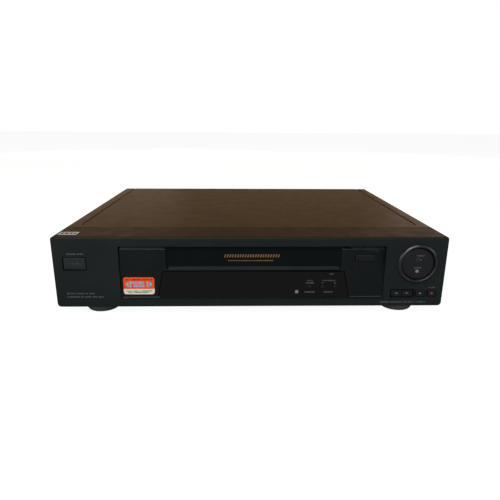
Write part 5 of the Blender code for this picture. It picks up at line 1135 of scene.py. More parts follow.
@dataclass
class CentrePanel:
    """The sunk moulding in the middle with the door, the window, their print and the label."""

    recess: float = 0.0004
    lean: float = 0.036
    dish: float = 0.0007
    top: float = 0.0685
    chamfer_back: float = 0.00547
    chamfer_foot: float = 0.0658
    chamfer_front: float = 0.0043
    label: Run = (-0.1408, -0.1069, 0.0150, 0.0346)
    door_border: float = 0.0048
    band_inset: float = 0.0009
    door_side_gap: float = 0.0004
    door_foot_gap: float = 0.0003
    window_gap: float = 0.0007
    near: float = 0.0003

    def seat(self, sunk: float = 0.0) -> Seat:
        """The leaning front face, or one sunk behind it."""
        return Seat(Facing.FRONT, (0.0, FRONT_Y + self.recess + sunk, FOOT_HEIGHT), self.lean)

    def build(self) -> None:
        """Makes the mouldings, the door, the window, what is printed or stuck on them, and the painted
        highlights on the blocks and the door.
        """
        mould("centre_panel", "centre_moulding", Palette.PANEL, 0.00025, self.soft_chamfer)
        mould(
            "cassette_door", "door_moulding", Palette.DOOR, 0.0004, self.shy_door,
            math.radians(4),
        )
        mould("display_window", "window_lens", Palette.WINDOW, 0.0003, self.shy_window)
        dress("door_spring", Palette.STEEL)
        self.window_print()
        self.door_print()
        self.stick_label()
        self.lip_highlights_and_wear()
        self.crest_highlights()
        self.door_foot_highlight()
        self.specks()

    def shy_door(self, points: Points) -> Points:
        """The door's points, with its sides drawn in and its foot raised, for the gap round it.

        Args:
            points: the door's points.

        Returns:
            The moved points.
        """
        low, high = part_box("cassette_door")
        moved = points.copy()
        moved[points[:, 0] < low.x + self.near, 0] += self.door_side_gap
        moved[points[:, 0] > high.x - self.near, 0] -= self.door_side_gap
        moved[points[:, 2] < low.z + self.near, 2] += self.door_foot_gap
        return moved

    def shy_window(self, points: Points) -> Points:
        """The window's points, with its top lowered and its slanted sides drawn in, for the gap.

        Each point moves towards the middle by the gap times its share of the half width.

        Args:
            points: the window's points.

        Returns:
            The moved points.
        """
        low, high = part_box("display_window")
        middle, half = (low.x + high.x) / 2, (high.x - low.x) / 2
        moved = points.copy()
        moved[:, 0] -= self.window_gap * (points[:, 0] - middle) / half
        moved[points[:, 2] > high.z - self.near, 2] -= self.window_gap
        return moved

    def lip_highlights_and_wear(self) -> None:
        """A painted highlight along the foot of each block as a thin lighter strip, and a worn spot at the left
        one's end.
        """
        low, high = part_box("centre_panel")
        foot, top = 0.0110, 0.0121
        bars = [
            pad(right - left, top - foot, -INK_DEPTH, 0.00025, 0.0003, 0.0002)
            .moved((left + right) / 2, (foot + top) / 2)
            for left, right in ((low.x + 0.0012, -0.1012), (high.x - 0.0365, high.x - 0.0012))
        ]
        make("block_lip_highlights", together(bars).at(self.seat()), Palette.LIP_HIGHLIGHT)
        spot = strokes([(low.x + 0.0012, low.x + 0.0058, 0.0104, 0.0110)])
        make("worn_spot", spot.at(self.seat()), Palette.CHIP_WEAR)

    def crest_highlights(self) -> None:
        """A painted highlight along the top of each block, laid on its chamfer as a lighter strip."""
        low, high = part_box("centre_panel")
        door_low, door_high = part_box("cassette_door")
        foot_depth = self.recess + self.lean * self.chamfer_foot
        fall = (self.chamfer_front - foot_depth) / (self.top - self.chamfer_foot)
        seat = Seat(Facing.FRONT, (0.0, FRONT_Y + foot_depth, FOOT_HEIGHT + self.chamfer_foot), fall)
        rise = self.top - self.chamfer_foot
        spans = [(low.x + 0.0010, door_low.x - 0.0012), (door_high.x + 0.0012, high.x - 0.0010)]
        runs = [(left, right, 0.12 * rise, 0.88 * rise) for left, right in spans]
        make("block_crest_highlights", strokes(runs, -INK_DEPTH, 0.00012).at(seat), Palette.CREST_HIGHLIGHT)

    def door_foot_highlight(self) -> None:
        """A painted highlight on the sloping border along the door's foot, mitred at both ends."""
        low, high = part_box("cassette_door")
        foot, border = low.z - FOOT_HEIGHT, self.door_border
        seat = Seat(
            Facing.FRONT, (0.0, FRONT_Y + self.recess + self.lean * foot, low.z),
            self.lean + self.dish / border,
        )
        start, end = self.band_inset, border - 0.0001
        outline = [(low.x + start, start), (high.x - start, start), (high.x - end, end), (low.x + end, end)]
        band = prism(outline, -INK_DEPTH, INK_LIFT)
        make("door_foot_highlight", band.at(seat), Palette.BAND_HIGHLIGHT, body="door")

    def specks(self) -> None:
        """Two small worn marks below the eject button."""
        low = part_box("eject_button")[0]
        across, up = low.x, low.z - FOOT_HEIGHT
        runs = [
            (across - 0.0020, across - 0.0012, up - 0.0036, up - 0.0029),
            (across + 0.0005, across + 0.0013, up - 0.0106, up - 0.0099),
        ]
        make("block_specks", strokes(runs).at(self.seat()), Palette.KEY_EDGE_HIGHLIGHT_AND_SPECKS)

    def soft_chamfer(self, points: Points) -> Points:
        """The moulding's points, with the inner edge of the top chamfer drawn forward.

        Points at the panel's top and between the face and the wall's back move to one depth, which
        turns the chamfer from 45 degrees to about 25.

        Args:
            points: the moulding's points.

        Returns:
            The moved points.
        """
        height, depth = points[:, 2] - FOOT_HEIGHT, points[:, 1] - FRONT_Y
        inner_edge = (np.abs(height - self.top) < 0.0002) & (np.abs(depth - self.chamfer_back) < self.near)
        moved = points.copy()
        moved[inner_edge, 1] = FRONT_Y + self.chamfer_front
        return moved

    def window_print(self) -> None:
        """The marks in the window round its three buttons."""
        square = strokes([(0.0487, 0.0521, 0.0158, 0.0192)])
        make("window_square", square.at(self.seat()), Palette.INK)
        lines = printed(
            (0.0620, 0.0676, 0.0298, 0.0312, 31), (0.0606, 0.0690, 0.0270, 0.0284, 32),
            (0.0790, 0.0928, 0.0298, 0.0312, 33), (0.0592, 0.0704, 0.0164, 0.0178, 34),
            (0.0806, 0.0904, 0.0164, 0.0178, 35),
        )
        lines += [
            (0.0776, 0.0800, 0.0274, 0.0279), (0.0916, 0.0940, 0.0274, 0.0279),
            (0.09255, 0.09305, 0.0265, 0.0288), (0.0862, 0.0908, 0.0376, 0.0384),
        ]
        make("window_print", strokes(lines).at(self.seat()), Palette.DIM_INK)

    def door_print(self) -> None:
        """A generic gilt rule of slanted bars over a finer one, in the door's sunk field."""
        wide, slant, foot, top = 0.0012, 0.0011, 0.0570, 0.0604
        bars = [strokes(small_print(-0.026, 0.0235, 0.0528, 0.0538, 41))]
        for x in -0.030 + 0.0585 * np.arange(22) / 21:
            outline = [(x, foot), (x + wide, foot), (x + wide + slant, top), (x + slant, top)]
            bars.append(prism(outline, -INK_DEPTH, INK_LIFT))
        rule = together(bars).at(self.seat(self.dish))
        make("door_print", rule, Palette.GOLD_INK, body="door")

    def stick_label(self) -> None:
        """The adhesive label on the left block: two plain bands with generic arrows and bars."""
        left, right, foot, top = self.label
        width, height = right - left, top - foot
        split = foot + 0.32 * height
        middle = (left + right) / 2
        seat = self.seat()
        paper = pad(width, height, -INK_DEPTH, PAPER_RISE, 0.0022, PAPER_RISE / 2)
        paper = paper.moved(middle, (foot + top) / 2)
        make("block_label", paper.at(seat), Palette.ORANGE_PAPER)
        cut = 0.0021
        low = [
            (left + cut, foot), (right - cut, foot), (right, foot + cut), (right, split), (left, split),
            (left, foot + cut),
        ]
        line = eased([(x, y, 0.0009 if y < split else 0) for x, y in low], closed=True)
        make("block_label_foot", prism(line, ON_PAPER, 0.00014).at(seat), Palette.CREAM_PAPER)
        arrow = 0.0030
        level = split + 0.40 * (top - split)
        shapes = [strokes(printed(
            (middle - 0.0102, middle + 0.0102, level + 0.0004, level + 0.0032, 51),
            (middle - 0.0102, middle + 0.0102, level - 0.0032, level - 0.0004, 52),
        ), ON_PAPER, PAPER_INK)]
        for side in (1, -1):
            tip, back = middle + side * 0.0148, middle + side * 0.0115
            outline = [(tip, level), (back, level + side * arrow), (back, level - side * arrow)]
            shapes.append(prism(outline, ON_PAPER, PAPER_INK))
        make("block_label_arrows", together(shapes).at(seat), Palette.BLUE_INK)
        lines = printed(
            (left + 0.002, right - 0.002, top - 0.0034, top - 0.0018, 53),
            (left + 0.003, right - 0.003, split - 0.0030, split - 0.0018, 54),
            (left + 0.005, right - 0.007, foot + 0.0016, foot + 0.0028, 55),
        )
        make("block_label_print", strokes(lines, ON_PAPER, 0.00016).at(seat), Palette.DARK_INK)


@dataclass
class Key:
    """One push button: its solid, how its front is rounded, and the marks on it."""

    node: str
    corner: float
    edge: float
    crown: float
    marks: list[Shape] = field(default_factory=list)
    ink: Finish = Palette.INK
    finish: Finish = Palette.KEY
    # inset of the painted highlight line round the key's face, none when nought
    rim: float = 0.0

    def build(self) -> None:
        """Makes the cap and its marks, which ride together."""
        low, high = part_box(self.node)
        middle = ((low.x + high.x) / 2, high.y, (low.z + high.z) / 2)
        seat = Seat(Facing.FRONT, middle)
        reach = high.y - low.y
        cap = pad(high.x - low.x, high.z - low.z, 0.0, reach, self.corner, self.edge, self.crown)
        make(f"{self.node}_cap", cap.at(seat), self.finish, BODY_OF[self.node], [self.node])
        # painted highlight: a lighter line round the edge of the key's face
        if self.rim:
            half_width, half_height = (high.x - low.x) / 2 - self.rim, (high.z - low.z) / 2 - self.rim
            line = frame_of(half_width, half_height, 0.00028).moved(out=reach)
            make(f"{self.node}_rim", line.at(seat), Palette.KEY_EDGE_HIGHLIGHT_AND_SPECKS, BODY_OF[self.node])
        if self.marks:
            face = together(self.marks).moved(out=reach + self.crown)
            make(f"{self.node}_mark", face.at(seat), self.ink, BODY_OF[self.node])


def triangle(across: float, up: float, size: float, way: int) -> Shape:
    """A flat solid triangle that points right or left."""
    back, tip, rise = across - way * size / 2, across + way * size / 2, way * size / 2
    return prism([(back, up - rise), (tip, up), (back, up + rise)], -INK_DEPTH, INK_LIFT)


def hoop(across: float, up: float, radius: float, stroke: float) -> Shape:
    """A flat printed circle.

    Args:
        across: its middle, across.
        up: its middle, up.
        radius: its radius outside.
        stroke: the line's width.

    Returns:
        The ring.
    """
    inside = radius - stroke
    section = [(radius, -INK_DEPTH), (radius, INK_LIFT), (inside, INK_LIFT), (inside, -INK_DEPTH)]
    return turned(section, 32, Ends.LOOPED).moved(across, up)


def frame_of(half_width: float, half_height: float, stroke: float) -> Shape:
    """A thin printed rectangle line, about the middle.

    Args:
        half_width: half its width outside.
        half_height: half its height outside.
        stroke: the line's width.

    Returns:
        Its four strokes.
    """
    wide, tall = half_width - stroke, half_height - stroke
    return strokes([
        (-half_width, half_width, -half_height, -tall), (-half_width, half_width, tall, half_height),
        (-half_width, -wide, -tall, tall), (wide, half_width, -tall, tall),
    ])


@dataclass
class Controls:
    """All the push buttons, and the painted shade round them."""

    hole_gap: float = 0.0005
    # width of the painted shade round the tape keys and beside the pause and record keys
    well: float = 0.0008
    shade: float = 0.0005

    def shade_the_key_holes(self) -> None:
        """Painted shade at the edges of the key holes: a dark band all round the tape keys and the power key,
        and a line beside the pause and record keys.
        """
        runs = []
        tape_keys, power = ("rewind_button", "fast_forward_button"), ("power_button",)
        for nodes, room in ((tape_keys, self.well), (power, self.shade)):
            boxes = [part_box(node) for node in nodes]
            gap = self.hole_gap
            left, right = boxes[0][0].x - gap, boxes[-1][1].x + gap
            foot, top = boxes[0][0].z - gap - FOOT_HEIGHT, boxes[0][1].z + gap - FOOT_HEIGHT
            runs += [(side, side + room, foot - room, top + room) for side in (left - room, right)]
            runs += [(left, right, foot - room, foot), (left, right, top, top + room)]
            runs += [(one[1].x + gap, two[0].x - gap, foot, top) for one, two in zip(boxes, boxes[1:])]
        for node in ("pause_button", "record_button"):
            low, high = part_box(node)
            edge = low.x - self.hole_gap
            runs.append((edge - self.well, edge, low.z - FOOT_HEIGHT, high.z - FOOT_HEIGHT))
        make("key_well_shadows", strokes(runs).at(FRONT), Palette.WELL_SHADE)

    def build(self) -> None:
        """Makes the painted shade round the keys, then each button with its own symbol."""
        self.shade_the_key_holes()
        back = [triangle(x, 0.0, 0.0016, -1) for x in (-0.0009, 0.0007)]
        ahead = [triangle(x, 0.0, 0.0016, 1) for x in (-0.0007, 0.0009)]
        pause = [strokes([(-0.0010, -0.0003, -0.0009, 0.0009), (0.0003, 0.0010, -0.0009, 0.0009)])]
        dash = [
            strokes([(-0.0046, -0.0040, -0.0008, 0.0008), (-0.0018, -0.0012, -0.0008, 0.0008)]),
            hoop(0.0028, 0.0, 0.0015, 0.0003),
        ]
        record = [strokes([(-0.0013, 0.0013, -0.0013, 0.0013)])]
        keys = [
            Key("power_button", 0.0009, 0.0005, 0.0002, dash, Palette.DIM_INK, Palette.BUTTON),
            Key("eject_button", 0.0007, 0.0004, 0.0, rim=0.0006),
            Key("rewind_button", 0.0006, 0.0004, 0.0, back, rim=0.0006),
            Key("fast_forward_button", 0.0006, 0.0004, 0.0, ahead, rim=0.0006),
            Key("pause_button", 0.0005, 0.0003, 0.0, pause),
            Key("record_button", 0.0005, 0.0003, 0.0, record, Palette.RED_INK),
            Key("clock_button", 0.00225, 0.0005, 0.0002),
            Key("minus_button", 0.00225, 0.0005, 0.0002),
            Key("plus_button", 0.00225, 0.0005, 0.0002),
        ]
        for key in keys:
            key.build()


@dataclass
class Rocker:
    """The glossy ring in the fascia and the play and stop disc that rocks in it."""

    inner: float = 0.0183
    outer: float = 0.02225
    crest: float = 0.28
    proud: float = 0.002
    disc: float = 0.0175
    disc_proud: float = 0.0008

    def build(self) -> None:
        """Makes the ring, the disc and the disc's symbols."""
        low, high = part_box("play_stop_disc")
        ring_low, ring_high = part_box("play_stop_ring")
        middle = ((low.x + high.x) / 2, FRONT_Y, (ring_low.z + ring_high.z) / 2)
        seat = Seat(Facing.FRONT, middle)
        back = FRONT_Y - ring_high.y
        share = np.linspace(0.03, 0.97, 21)
        off = np.where(share < self.crest, 1 - share / self.crest, (share - self.crest) / (1 - self.crest))
        level = self.proud * (1 - off**2.2)
        across = self.inner + share * (self.outer - self.inner)
        arch = [(float(radius), float(rise)) for radius, rise in zip(across, level)]
        shoulder = [(self.inner, back), (self.inner, 0.0)] + arch + [(self.outer, 0.0), (self.outer, back)]
        make(
            "rocker_ring", turned(shoulder, 128, Ends.LOOPED).at(seat), Palette.RING,
            stands_for=["play_stop_ring"],
        )
        disc_back = FRONT_Y - high.y
        edge, rise = self.disc, self.disc_proud
        face = eased([
            (0.0, rise, 0), (0.006, rise, 0.002), (edge - 0.0016, rise - 0.0001, 0.0006),
            (edge, 0.0001, 0.0004), (edge, -0.0026, 0), (0.0022, -0.0026, 0), (0.0022, disc_back, 0),
            (0.0, disc_back, 0),
        ])
        make(
            "rocker_disc", turned(face, 128).at(seat), Palette.DISC, "play_stop_rocker",
            ["play_stop_disc"],
        )
        top = Seat(Facing.FRONT, (middle[0], FRONT_Y - self.disc_proud, middle[2]))
        stroke = 0.0003
        left, right, foot, high_edge = -0.0026, 0.0006, 0.0036, 0.0068
        frame_runs = [
            (left, left + stroke, foot, high_edge), (left, right, foot, foot + stroke),
            (left, right, high_edge - stroke, high_edge),
        ]
        words = printed((-0.0024, 0.0056, 0.0090, 0.0106, 61), (-0.0040, 0.0036, -0.0048, -0.0032, 62))
        symbols = [strokes(frame_runs + words), triangle(0.0026, (foot + high_edge) / 2, 0.0022, 1)]
        make("rocker_print", together(symbols).at(top), Palette.DIM_INK, "play_stop_rocker")
        square = strokes([(-0.0022, 0.0010, -0.0096, -0.0064)])
        make("rocker_stop_mark", square.at(top), Palette.INK, "play_stop_rocker")


@dataclass
class Feet:
    """The four round feet, each a hollow moulding with a rubber sole."""

    height: float = 0.009
    top_radius: float = 0.0195
    sole_radius: float = 0.017
    pad_radius: float = 0.0125

    def build(self) -> None:
        """Makes each foot with its sole."""
        for node in ("foot_front_left", "foot_front_right", "foot_rear_left", "foot_rear_right"):
            low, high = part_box(node)
            seat = Seat(Facing.TOP, ((low.x + high.x) / 2, (low.y + high.y) / 2, 0.0))
            peg, flange = high.z, self.height - 0.0003
            shell = eased([
                (0.0, peg, 0), (0.0037, peg, 0.0005), (0.0037, flange, 0), (self.top_radius, flange, 0.0004),
                (self.top_radius, 0.0050, 0.0016), (self.sole_radius, 0.0006, 0.0012),
                (self.pad_radius + 0.0012, 0.0006, 0.0004), (self.pad_radius + 0.0004, 0.0016, 0.0003),
                (0.0, 0.0016, 0),
            ])
            make(f"{node}_shell", turned(shell, 96).at(seat), Palette.FOOT, stands_for=[node])
            sole = eased([
                (0.0, 0.0018, 0), (self.pad_radius, 0.0018, 0), (self.pad_radius, 0.0, 0.0004), (0.0, 0.0, 0),
            ])
            make(f"{node}_sole", turned(sole, 64).at(seat), Palette.SOLE)


def axis_seat(node: str) -> Seat:
    """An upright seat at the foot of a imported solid, in the middle of its box."""
    low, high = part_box(node)
    return Seat(Facing.TOP, ((low.x + high.x) / 2, (low.y + high.y) / 2, low.z))


def rear_seat(across: float, depth: float, height: float) -> Seat:
    """A seat that looks backwards, at an x, a depth and a height."""
    return Seat(Facing.REAR, (across, FRONT_Y + depth, FOOT_HEIGHT + height))


@dataclass
class RearSockets:
    """The rear panel with the mains inlet, the 21-pin sockets, the jacks and the aerial connectors."""

    panel_depth: float = 0.337
    socket_depth: float = 0.338
    pin_gap: float = 0.0086
    chamfer: float = 0.006
    shell: float = 0.0013
    ease: float = 0.0006
    screws: tuple[tuple[float, float], ...] = (
        (-0.2075, 0.0720), (-0.2075, 0.0090), (-0.1080, 0.0720), (0.0, 0.0720), (0.1080, 0.0720),
        (0.2075, 0.0720), (0.2075, 0.0090), (0.0155, 0.0300), (0.0720, 0.0165), (0.1275, 0.0300),
        (-0.1520, 0.0250), (-0.0240, 0.0300),
    )

    def build(self) -> None:
        """Makes the panel and each socket with its contacts."""
        mould("rear_panel", "rear_sheet", Palette.ZINC, 0.00025)
        head = screw_head(0.0033, 0.0013)
        heads = [head.at(rear_seat(x, self.panel_depth, height)) for x, height in self.screws]
        make("rear_screws", together(heads), Palette.DARK_SCREW)
        self.inlet()
        for node in ("scart_socket_left", "scart_socket_right"):
            self.wide_socket(node)
        self.jacks()
        self.aerials()
        self.marks()

    def inlet(self) -> None:
        """The two-pole mains inlet: its moulding and its two pins."""
        mould("mains_inlet", "inlet_moulding", Palette.DARK_GEAR, 0.0004)
        low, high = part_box("mains_inlet")
        middle, height = (low.x + high.x) / 2, (low.z + high.z) / 2
        pin = eased([(0.0, 0.0088, 0), (0.0012, 0.0088, 0.0006), (0.0012, -0.0004, 0), (0.0, -0.0004, 0)])
        pins = [
            turned(pin, 20).at(Seat(Facing.REAR, (middle + side * self.pin_gap / 2, high.y - 0.012, height)))
            for side in (-1, 1)
        ]
        make("inlet_pins", together(pins), Palette.STEEL)

    def loops(self, width: float, height: float, stations: Sequence[tuple[float, float]]) -> Points:
        """The 21-pin socket's outline, with one corner cut, at each station.

        Args:
            width: the socket's width.
            height: its height.
            stations: how far the outline is drawn in, and its level.

        Returns:
            Points by station, by place round the outline, by axis.
        """
        rows = []
        for inset, level in stations:
            half, rise, cut = width / 2 - inset, height / 2 - inset, self.chamfer - 0.6 * inset
            corners = [(-half, -rise), (half, -rise), (half, rise - cut), (half - cut, rise), (-half, rise)]
            line = np.array(eased([(x, y, self.ease) for x, y in corners], closed=True))
            rows.append(np.column_stack([line, np.full(len(line), level)]))
        return np.array(rows)

    def wide_socket(self, node: str) -> None:
        """A 21-pin socket: a moulded case, a steel shell round a sunk well, and two rows of contacts.

        The case is its outline carried from the front of the well's block to the rear face, drawn in
        by the shell's wall, and carried down into the well.

        Args:
            node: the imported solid.
        """
        low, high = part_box(node)
        width, height, reach = high.x - low.x, high.z - low.z, high.y - low.y
        seat = Seat(Facing.REAR, ((low.x + high.x) / 2, high.y, (low.z + high.z) / 2))
        outside, inside = self.shell + 0.0001, self.shell + 0.0006
        steps = [(0.0, -reach), (0.0, -0.0003), (0.0003, 0.0), (self.shell, 0.0), (outside, -0.0085)]
        case = skin(self.loops(width, height, steps))
        make(f"{node}_case", case.at(seat), Palette.DARK_GEAR, stands_for=[node])
        walls = [(outside, -0.0080), (outside, 0.0009), (inside, 0.0009), (inside, -0.0080)]
        rim = skin(self.loops(width, height, walls), Ends.LOOPED).moved(out=-0.0009)
        make(f"{node}_shell", rim.at(seat), Palette.STEEL)
        tongue = pad(width - 0.0078, 0.0062, -0.0088, -0.0012, 0.0006, 0.0004).moved(up=-0.0010)
        make(f"{node}_tongue", tongue.at(seat), Palette.DARK_GEAR)
        spots = (np.arange(10) - 4.5) * 0.0038
        runs = [
            (x - 0.0009, x + 0.0009, up, up + 0.0006)
            for up in (-0.0029, 0.0003) for x in spots + (0.0019 if up > 0 else 0.0)
        ]
        contacts = strokes(runs, -0.0014, -0.0011).moved(up=0.0001)
        make(f"{node}_contacts", contacts.at(seat), Palette.BRASS)

    def jacks(self) -> None:
        """The round jacks: coloured collars round plated sleeves, and an insulator in each."""
        mould("audio_jack_block", "jack_moulding", Palette.DARK_GEAR, 0.0003)
        low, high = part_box("audio_jack_block")
        middle, height = (low.x + high.x) / 2, (low.z + high.z) / 2
        face = FRONT_Y + self.socket_depth
        reach = high.y - face
        end = reach + 0.00006
        sleeve = eased([
            (0.00424, 0.0002, 0), (0.00424, reach + 0.0001, 0.0003), (0.0034, reach + 0.0001, 0.0001),
            (0.0034, reach - 0.0005, 0), (0.0040, 0.0002, 0),
        ])
        collar = eased([(0.0043, 0.0, 0), (0.0043, 0.0013, 0.0002), (0.0060, 0.0013, 0.0004), (0.0060, 0.0, 0)])
        plug = eased([
            (0.0018, reach - 0.001, 0), (0.0018, end, 0.0001), (0.0033, end, 0.0001),
            (0.0033, reach - 0.001, 0),
        ])
        both = together([turned(collar, 40, Ends.LOOPED), turned(plug, 40, Ends.LOOPED)])
        sleeves = []
        for side, colour in ((-1, Palette.WHITE_RING), (1, Palette.RED_RING)):
            seat = Seat(Facing.REAR, (middle + side * 0.0075, face, height))
            sleeves.append(turned(sleeve, 40, Ends.LOOPED).at(seat))
            make(f"jack_collar_{colour.name}", both.at(seat), colour)
        make("jack_sleeves", together(sleeves), Palette.STEEL)

    def aerials(self) -> None:
        """The tuner can and the ribbed sleeves of its two connectors.

        A sleeve's radius has a ridge each 0.8 mm, as a triangle wave of the distance along it.
        """
        mould("tuner_unit", "tuner_can", Palette.ZINC, 0.0003)
        low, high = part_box("tuner_unit")
        middle = (low.x + high.x) / 2
        foot = FRONT_Y + self.panel_depth
        reach = high.y - foot
        along = np.linspace(0.0020, reach - 0.0010, 23)
        ridge = 0.0048 + 0.00012 * np.where(np.arange(23) % 2, 1, -1)
        profile = [(0.0048, 0.0002), (0.0066, 0.0002), (0.0066, 0.0016), (0.0048, 0.0016)]
        profile += [(float(r), float(a)) for r, a in zip(ridge, along)]
        profile += [
            (0.0046, reach + 0.0001), (0.0038, reach + 0.0001), (0.0038, reach - 0.0004),
            (0.0040, reach - 0.0020),
        ]
        sleeves, inserts = [], []
        for height in (0.0185, 0.0355):
            seat = Seat(Facing.REAR, (middle, foot, FOOT_HEIGHT + height))
            sleeves.append(turned(profile, 36, Ends.LOOPED).at(seat))
            insert = [
                (0.0014, reach - 0.001), (0.0014, reach + 0.00005), (0.0036, reach + 0.00005),
                (0.0036, reach - 0.001),
            ]
            inserts.append(turned(insert, 32, Ends.LOOPED).at(seat))
        make("aerial_sleeves", together(sleeves), Palette.STEEL)
        make("aerial_inserts", together(inserts), Palette.PALE_GEAR)

    def marks(self) -> None:
        """Generic printed lines beside the sockets."""
        seat = rear_seat(0.0, self.panel_depth, 0.0)
        lines: list[Run] = []
        for number, (left, right, foot) in enumerate([
            (-0.068, -0.026, 0.0275), (-0.120, -0.082, 0.0275), (-0.010, 0.014, 0.0275),
            (-0.186, -0.158, 0.0485), (0.166, 0.192, 0.0320), (-0.148, -0.136, 0.0180),
            (-0.148, -0.136, 0.0350),
        ]):
            lines += small_print(left, right, foot, foot + 0.0018, 70 + number)
        frame_left, frame_right, low, high, line = -0.128, -0.018, 0.0050, 0.0325, 0.0004
        lines += [
            (frame_left, frame_right, high, high + line), (frame_left, frame_left + line, low, high),
            (frame_right - line, frame_right, low, high),
        ]
        make("rear_print", strokes(lines).at(seat), Palette.DARK_INK)


@dataclass
class Underside:
    """The bottom plate with its screws and pressed ribs."""

    screws: tuple[tuple[float, float], ...] = (
        (-0.195, 0.055), (0.195, 0.055), (-0.195, 0.275), (0.195, 0.275), (-0.060, 0.025), (0.060, 0.025),
        (-0.095, 0.150), (0.095, 0.150), (0.0, 0.322), (-0.110, 0.322), (0.110, 0.322), (0.0, 0.100),
    )

    def build(self) -> None:
        """Makes the plate, its ribs and its screws."""
        mould("bottom_plate", "base_sheet", Palette.ZINC, 0.0002)
        heads = [
            screw_head(0.0033, 0.0012).at(Seat(Facing.UNDER, (x, FRONT_Y + depth, FOOT_HEIGHT)))
            for x, depth in self.screws
        ]
        make("base_screws", together(heads), Palette.DARK_SCREW)
        rib = pad(0.006, 0.150, -0.0002, 0.0008, 0.0029, 0.0006)
        wide = pad(0.170, 0.006, -0.0002, 0.0008, 0.0029, 0.0006)
        under = Seat(Facing.UNDER, (0.0, FRONT_Y, FOOT_HEIGHT))
        ribs = [rib.moved(across=x, up=-0.170).at(under) for x in (-0.130, 0.130)]
        ribs += [wide.moved(up=-depth).at(under) for depth in (0.070, 0.250)]
        make("base_ribs", together(ribs), Palette.ZINC)


@dataclass
class Electronics:
    """The boards with their small parts, the supply's large parts and the display tube."""

    seed: int = 5
    board_top: float = 0.0076
    pitch: float = 0.0125

    def build(self) -> None:
        """Dresses the boards and sets their small parts on them."""
        for node in ("main_board", "power_supply_board", "front_control_board"):
            dress(node, Palette.BOARD)
        mould("fluorescent_display", "display_tube", Palette.GLASS, 0.0004)
        mould("transformer", "transformer_core", Palette.IRON, 0.0004)
        mould("heat_sink", "heat_sink_fins", Palette.SINK, 0.0002)
        mould("smoothing_capacitor", "capacitor_can", Palette.SLEEVE, 0.0005)
        self.small_parts("main_board", (0.119, 0.203), (0.068, 0.262), 0.016)
        self.small_parts("main_board_rear", (-0.090, 0.110), (0.232, 0.300), 0.014)
        self.small_parts("supply", (-0.204, -0.146), (0.222, 0.305), 0.014)

    def small_parts(
            self, name: str, across: tuple[float, float], depth: tuple[float, float], tall: float
    ) -> None:
        """Rows of chips, cans, resistors and coils, one to each cell of a grid.

        Args:
            name: what the made pieces' names start with.
            across: from which x to which.
            depth: from which depth to which.
            tall: how high the tallest can stands.
        """
        draw = np.random.default_rng(self.seed + len(name))
        columns = np.arange(across[0] + self.pitch / 2, across[1] - self.pitch / 3, self.pitch)
        rows = np.arange(depth[0] + self.pitch / 2, depth[1] - self.pitch / 3, self.pitch)
        chips, cans, bodies, wires = [], [], [], []
        ends = 0.0048 * np.array([-1, -1, -0.92, 0.92, 1, 1])
        rise = np.array([-0.0016, -0.0004, 0, 0, -0.0004, -0.0016])
        lead = wire(np.column_stack([ends, 0 * ends, rise]), 0.00025, 5)
        for x in columns:
            for back in rows:
                seat = Seat(Facing.TOP, (float(x), FRONT_Y + float(back), FOOT_HEIGHT + self.board_top))
                kind, size = draw.random(), float(draw.uniform(0.7, 1.0))
                if kind < 0.22:
                    chips.append(pad(0.0095 * size, 0.0065, 0.0004, 0.0032, 0.0003, 0.0003).at(seat))
                    legs = [(sign * 0.00375 - 0.0005, sign * 0.00375 + 0.0005) for sign in (-1, 1)]
                    pins = [
                        (float(a) - 0.0002, float(a) + 0.0002, *leg)
                        for leg in legs for a in np.linspace(-0.0036, 0.0036, 5) * size
                    ]
                    wires.append(strokes(pins, -0.0001, 0.0012).at(seat))
                elif kind < 0.5:
                    radius, height = 0.0032 * size, tall * float(draw.uniform(0.45, 1.0))
                    rim, dip = radius - 0.0008, height - 0.0003
                    profile = eased([
                        (0.0, dip, 0), (rim, dip, 0.0002), (radius, height, 0.0006), (radius, 0.0003, 0.0004),
                        (0.0, 0.0003, 0),
                    ])
                    cans.append(turned(profile, 20).at(seat))
                elif kind < 0.85:
                    length = 0.0030 * size
                    waist = eased([
                        (0.0, -length, 0), (0.0012, -length, 0.0003), (0.0010, 0.0, 0.0005),
                        (0.0012, length, 0.0003), (0.0, length, 0),
                    ])
                    for step in (-0.0032, 0.0, 0.0032):
                        place = (seat.origin[0], seat.origin[1] + step, seat.origin[2] + 0.0014)
                        bodies.append(turned(waist, 10).at(Seat(Facing.RIGHT, place)))
                        wires.append(lead.at(Seat(Facing.TOP, place)))
        make(f"{name}_chips", together(chips), Palette.CHIP)
        make(f"{name}_cans", together(cans), Palette.SLEEVE)
        make(f"{name}_resistors", together(bodies), Palette.TAPE)
        make(f"{name}_leads", together(wires), Palette.STEEL)


